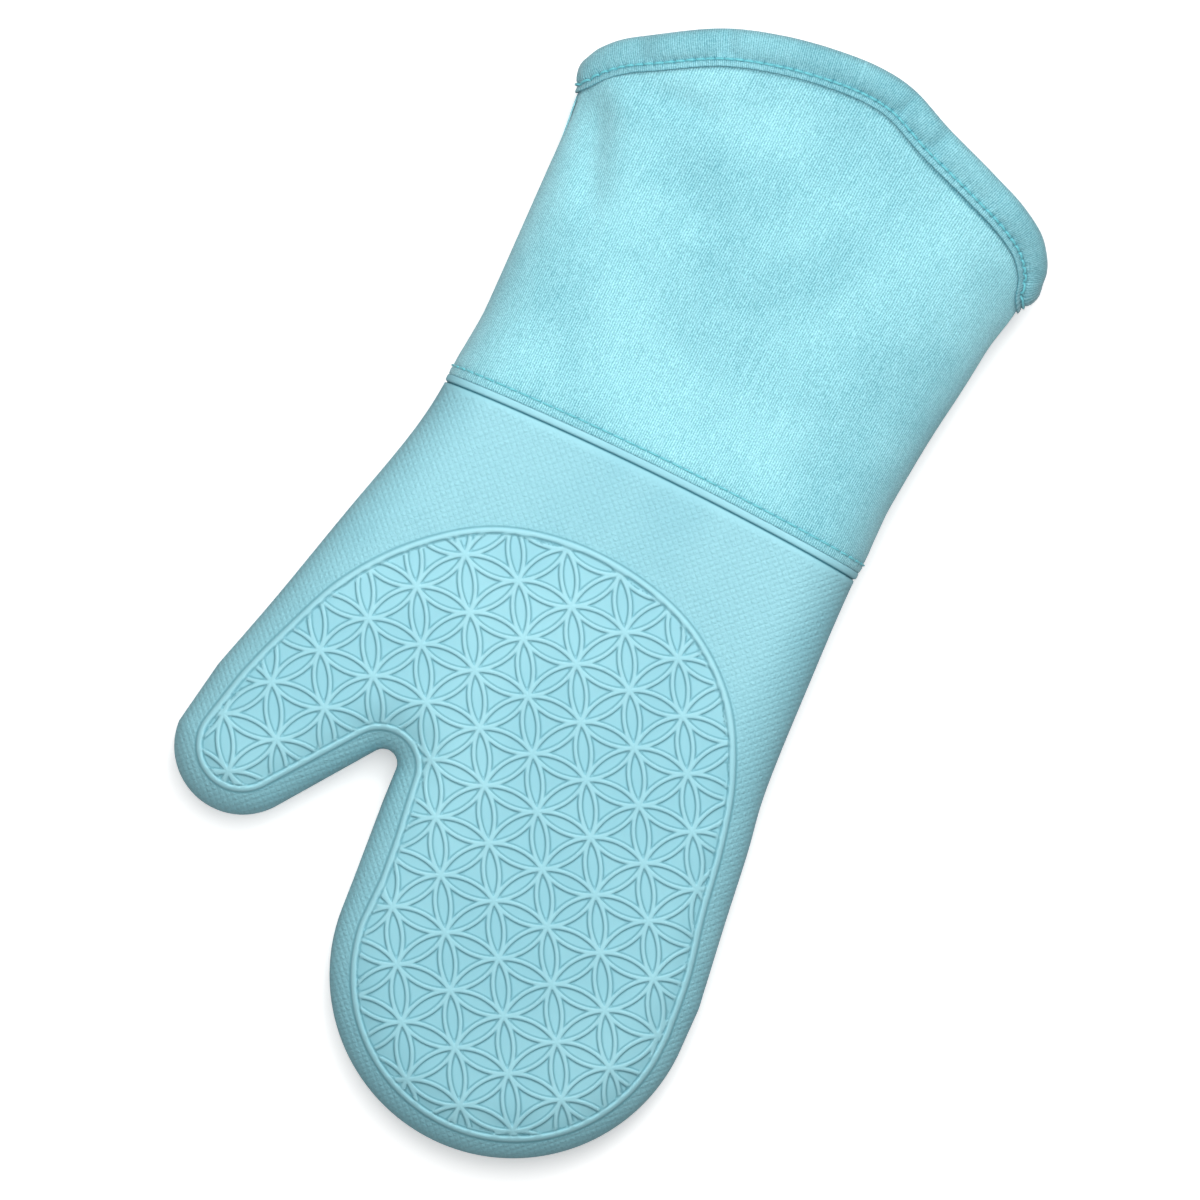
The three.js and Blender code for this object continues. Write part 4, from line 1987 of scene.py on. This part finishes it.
@dataclass(frozen=True)
class LiningFinish(Finish):
    """Fine plain cotton, quilted in diamonds, with painted shade in the quilted hollows and between its
    threads.
    """

    base: Colour = srgb(176, 222, 231)
    # Colour of the painted shade, and of the cloth's own cloudy tone.
    deep: Colour = srgb(104, 164, 178)
    thread_pitch: float = 0.42

    def build(self, effects: Effects) -> bpy.types.Material:
        """Makes the material.

        Args:
            effects: The shared node groups.

        Returns:
            The material.
        """
        material, tree, shader, _, mottle = self.start(effects, 26.0, 3000.0)
        cloth = tree.attribute("cloth").outputs["Vector"]
        weave = tree.group(effects.weave, Vector=cloth, Rib_Pitch=self.thread_pitch,
                           Pick_Pitch=self.thread_pitch, Unevenness=0.15).outputs
        # Painted shade in the hollows along the quilting lines and between the threads; the cloudiness is the
        # cloth's own tone.
        dark = tree.span(tree.attribute("quilt").outputs["Fac"], 0.05, 0.4, 0.5, 0.0)
        dark = tree.math("ADD", dark, tree.math("MULTIPLY", weave["Groove"], 0.2))
        dark = tree.math("ADD", dark, tree.span(mottle["Cloud"], 0.35, 0.7, 0.1, 0.0), clamp=True)
        tree.feed(shader.inputs["Base Color"], tree.mix(dark, self.base, self.deep))
        tree.feed(shader.inputs["Roughness"], tree.span(weave["Groove"], 0.0, 1.0, 0.8, 0.93))
        tree.feed(shader.inputs["Normal"], self.bump(tree, weave["Height"], 0.06))
        shader.inputs["Sheen Weight"].default_value = 0.2
        return material


@dataclass(frozen=True)
class WaddingFinish(Finish):
    """Needled cotton wadding: soft, fibrous and uneven."""

    base: Colour = srgb(240, 238, 230)
    deep: Colour = srgb(206, 202, 190)

    def build(self, effects: Effects) -> bpy.types.Material:
        """Makes the material.

        Args:
            effects: The shared node groups.

        Returns:
            The material.
        """
        material, tree, shader, _, mottle = self.start(effects, 160.0, 1100.0)
        share = tree.span(mottle["Cloud"], 0.3, 0.7, 0.0, 0.8)
        tree.feed(shader.inputs["Base Color"], tree.mix(share, self.base, self.deep))
        tree.feed(shader.inputs["Roughness"], tree.span(mottle["Grain"], 0.3, 0.7, 0.88, 1.0))
        normal = self.bump(tree, mottle["Cloud"], 0.5)
        tree.feed(shader.inputs["Normal"], self.bump(tree, mottle["Grain"], 0.15, normal))
        return material


@dataclass(frozen=True)
class FloorFinish(Finish):
    """Plain pale studio floor."""

    base: Colour = (0.93, 0.93, 0.93, 1.0)
    cloud: Colour = (0.9, 0.9, 0.9, 1.0)
    thrown_back: Colour = (0.42, 0.42, 0.42, 1.0)
    glow: Colour = (0.34, 0.34, 0.34, 1.0)
    dark: Colour = (0.0, 0.0, 0.0, 1.0)

    def build(self, effects: Effects) -> bpy.types.Material:
        """Makes the material.

        Args:
            effects: The shared node groups.

        Returns:
            The material.
        """
        material, tree, shader, _, mottle = self.start(effects, 1.5, 60.0)
        pale = tree.mix(tree.span(mottle["Cloud"], 0.3, 0.7, 0.0, 0.01), self.base, self.cloud)
        seen = tree.node("ShaderNodeLightPath").outputs["Is Camera Ray"]
        tree.feed(shader.inputs["Base Color"], tree.mix(seen, self.thrown_back, pale))
        tree.feed(shader.inputs["Emission Color"], tree.mix(seen, self.dark, self.glow))
        shader.inputs["Emission Strength"].default_value = 1.0
        shader.inputs["Roughness"].default_value = 0.9
        return material


# ------------------------------------------------------------------ studio


@dataclass
class Studio:
    """Floor, soft light and the camera straight above the mitt. Lengths are in metres, but for the middle."""

    camera_height: float = 3.215
    camera_turn: float = 26.0
    middle_x: float = 9.0
    middle_y: float = -6.0
    lens: float = 300.0
    sensor: float = 36.0
    floor_half: float = 4.0
    aim_height: float = 0.02
    # Each light: its turn and rise in degrees, its distance, its watts and its size.
    key: tuple[float, ...] = (65.0, 48.0, 1.2, 7.2, 0.7)
    top: tuple[float, ...] = (110.0, 80.0, 0.52, 1.9, 0.4)
    sky_top: float = 0.55
    sky_foot: float = 0.12

    def floor(self, effects: Effects) -> None:
        """Lays the floor under the mitt.

        Args:
            effects: The shared node groups.
        """
        half = self.floor_half
        corners = [(-half, -half, 0), (half, -half, 0), (half, half, 0), (-half, half, 0)]
        mesh = bpy.data.meshes.new("studio_floor")
        mesh.from_pydata(corners, [], [(0, 1, 2, 3)])
        mesh.materials.append(FloorFinish("pale_floor").build(effects))
        plane = bpy.data.objects.new("studio_floor", mesh)
        bpy.context.scene.collection.objects.link(plane)

    def _area(self, name: str, turn: float, rise: float, distance: float, power: float, size: float) -> None:
        """An area light that faces the mitt.

        Args:
            name: The light's name.
            turn: Its direction in the plan, in degrees from the camera's right, counter-clockwise.
            rise: Its height above the horizon in degrees.
            distance: Metres from the middle of the mitt.
            power: Watts.
            size: Edge of the square in metres.
        """
        data = bpy.data.lights.new(name, "AREA")
        data.energy, data.size = power, size
        made = bpy.data.objects.new(name, data)
        made.visible_camera = False
        bpy.context.scene.collection.objects.link(made)
        angle, up = math.radians(turn + self.camera_turn), math.radians(rise)
        aim = Vector((self.middle_x * MM, self.middle_y * MM, self.aim_height))
        away = Vector((math.cos(angle) * math.cos(up), math.sin(angle) * math.cos(up), math.sin(up)))
        made.location = aim + away * distance
        made.rotation_euler = (-away).to_track_quat("-Z", "Y").to_euler()

    def light(self) -> None:
        """Sets up the key, the softbox overhead and the sky."""
        self._area("key_softbox", *self.key)
        self._area("top_softbox", *self.top)
        self._sky()
        bpy.context.scene.view_settings.view_transform = "Standard"

    def _sky(self) -> None:
        """A sky that is brightest overhead, and plain white behind the mitt."""
        world = bpy.data.worlds.new("studio_sky")
        world.use_nodes = True
        tree = Tree(world.node_tree)
        back = world.node_tree.nodes["Background"]
        split = tree.node("ShaderNodeSeparateXYZ")
        tree.feed(split.inputs[0], tree.node("ShaderNodeTexCoord").outputs["Generated"])
        lit = tree.span(split.outputs[2], 0.0, 0.9, self.sky_foot, self.sky_top)
        seen = tree.node("ShaderNodeLightPath").outputs["Is Camera Ray"]
        tree.feed(back.inputs["Strength"], tree.math("MAXIMUM", lit, seen))
        back.inputs["Color"].default_value = (1, 1, 1, 1)
        bpy.context.scene.world = world

    def camera(self) -> None:
        """Puts the camera above the mitt, looking straight down."""
        data = bpy.data.cameras.new("above")
        data.lens, data.sensor_width = self.lens, self.sensor
        data.clip_start, data.clip_end = 0.05, 50
        made = bpy.data.objects.new("above", data)
        made.location = (self.middle_x * MM, self.middle_y * MM, self.camera_height)
        made.rotation_euler = (0, 0, math.radians(self.camera_turn))
        bpy.context.scene.collection.objects.link(made)
        bpy.context.scene.camera = made


# ------------------------------------------------------------------ putting it together


def dress(piece: bpy.types.Object, material: bpy.types.Material, slot: Slot, *nodes: str) -> bpy.types.Object:
    """Finishes a piece and ties it to the frame.

    Args:
        piece: The made piece.
        material: Its finish.
        slot: Not used.
        nodes: Frame nodes that the piece stands for.

    Returns:
        The same piece.
    """
    piece.data.materials.clear()
    piece.data.materials.append(material)
    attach(piece, BODY)
    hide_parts(*nodes)
    faces = len(piece.data.polygons)
    LOG.info("%s: %d faces, stands for %s", piece.name, faces, ", ".join(nodes))
    return piece


def declare_sheet(
    piece: bpy.types.Object, area: float, under: list[bpy.types.Object]
) -> None:
    """Logs a cloth piece's area on one side beside the area of its cut shape.

    Args:
        piece: The sheet.
        area: Area of its cut shape in square millimetres.
        under: Not used.
    """
    one_side = sum(face.area for face in piece.data.polygons) / 2
    LOG.info("%s: %.4f m2 on one side, cut as %.4f m2", piece.name, one_side, area * MM * MM)


def thread_rows(form: MittForm, cuff: CanvasCuff, binding: MouthBinding) -> tuple[bpy.types.Object, ...]:
    """Makes the two rows of stitches.

    Args:
        form: The mitt's form.
        cuff: The cuff, which knows where its seam is sewn.
        binding: The tape, which knows where it is sewn.

    Returns:
        The seam's thread and the binding's thread.
    """
    _, base, normal = cuff.seam_line()
    seam = ThreadRow(cuff.stitch_pitch, radius=0.34).build("seam_stitching", base, normal)
    phi, _ = form.loop_angles(binding.edge_v, 1.0)
    places, normals = binding.lip(phi)
    normal = binding.on_lip(normals, binding.stitch_line)
    base = binding.on_lip(places, binding.stitch_line) + 1.02 * normal
    row = ThreadRow(binding.stitch_pitch, shown=0.62, radius=0.42, dip=1.3)
    return seam, row.build("binding_stitching", base, normal, measure=places[0])


def main() -> None:
    """Builds every piece, dresses it and reports it."""
    logging.basicConfig(level=logging.INFO, format="%(message)s")
    effects = Effects()
    form = MittForm()
    silicone = SiliconeFinish("soft_silicone").build(effects)
    canvas = WovenFinish("ribbed_canvas", srgb(167, 229, 238), srgb(84, 152, 167)).build(effects)
    tape = WovenFinish("woven_tape", srgb(148, 207, 217), srgb(74, 140, 154), 0.72, 0.6, 0.14).build(effects)
    thread = ThreadFinish("sewing_thread").build(effects)
    lining = LiningFinish("quilted_cotton").build(effects)
    wadding = WaddingFinish("cotton_wadding").build(effects)

    glove = SiliconeGlove(form, PalmRelief()).build()
    dress(glove, silicone, Slot.SILICONE, "silicone_glove")

    cuff = CanvasCuff(form)
    cuff.settle()
    panels = {}
    for side in Side:
        panels[side] = dress(cuff.build(side), canvas, Slot.CANVAS, f"cuff_{side.name.lower()}_panel")
    binding = MouthBinding(form)
    band = dress(binding.build(), tape, Slot.TAPE, "mouth_binding")
    seam_row, binding_row = thread_rows(form, cuff, binding)
    dress(seam_row, thread, Slot.THREAD, "cuff_seam_thread")
    dress(binding_row, thread, Slot.THREAD, "binding_thread")

    pads = InnerPanel(form, "wadding_{side}", 4.3, thickness=1.3, step=4.0, dents=cuff.dents)
    sheets = InnerPanel(form, "lining_{side}", 5.8, thickness=0.5, step=2.4, quilt=1.4, dents=cuff.dents)
    for side in Side:
        word = side.name.lower()
        pad = dress(pads.build(side), wadding, Slot.WADDING, f"wadding_{word}_panel")
        inner = dress(sheets.build(side), lining, Slot.LINING, f"lining_{word}_panel")
        declare_sheet(inner, sheets.cut_area, [pad])
        declare_sheet(panels[side], cuff.cut_area, [pad])
    declare_sheet(band, binding.cut[0] * binding.cut[1], list(panels.values()))

    studio = Studio()
    studio.floor(effects)
    studio.light()
    studio.camera()


if __name__ == "__main__":
    main()
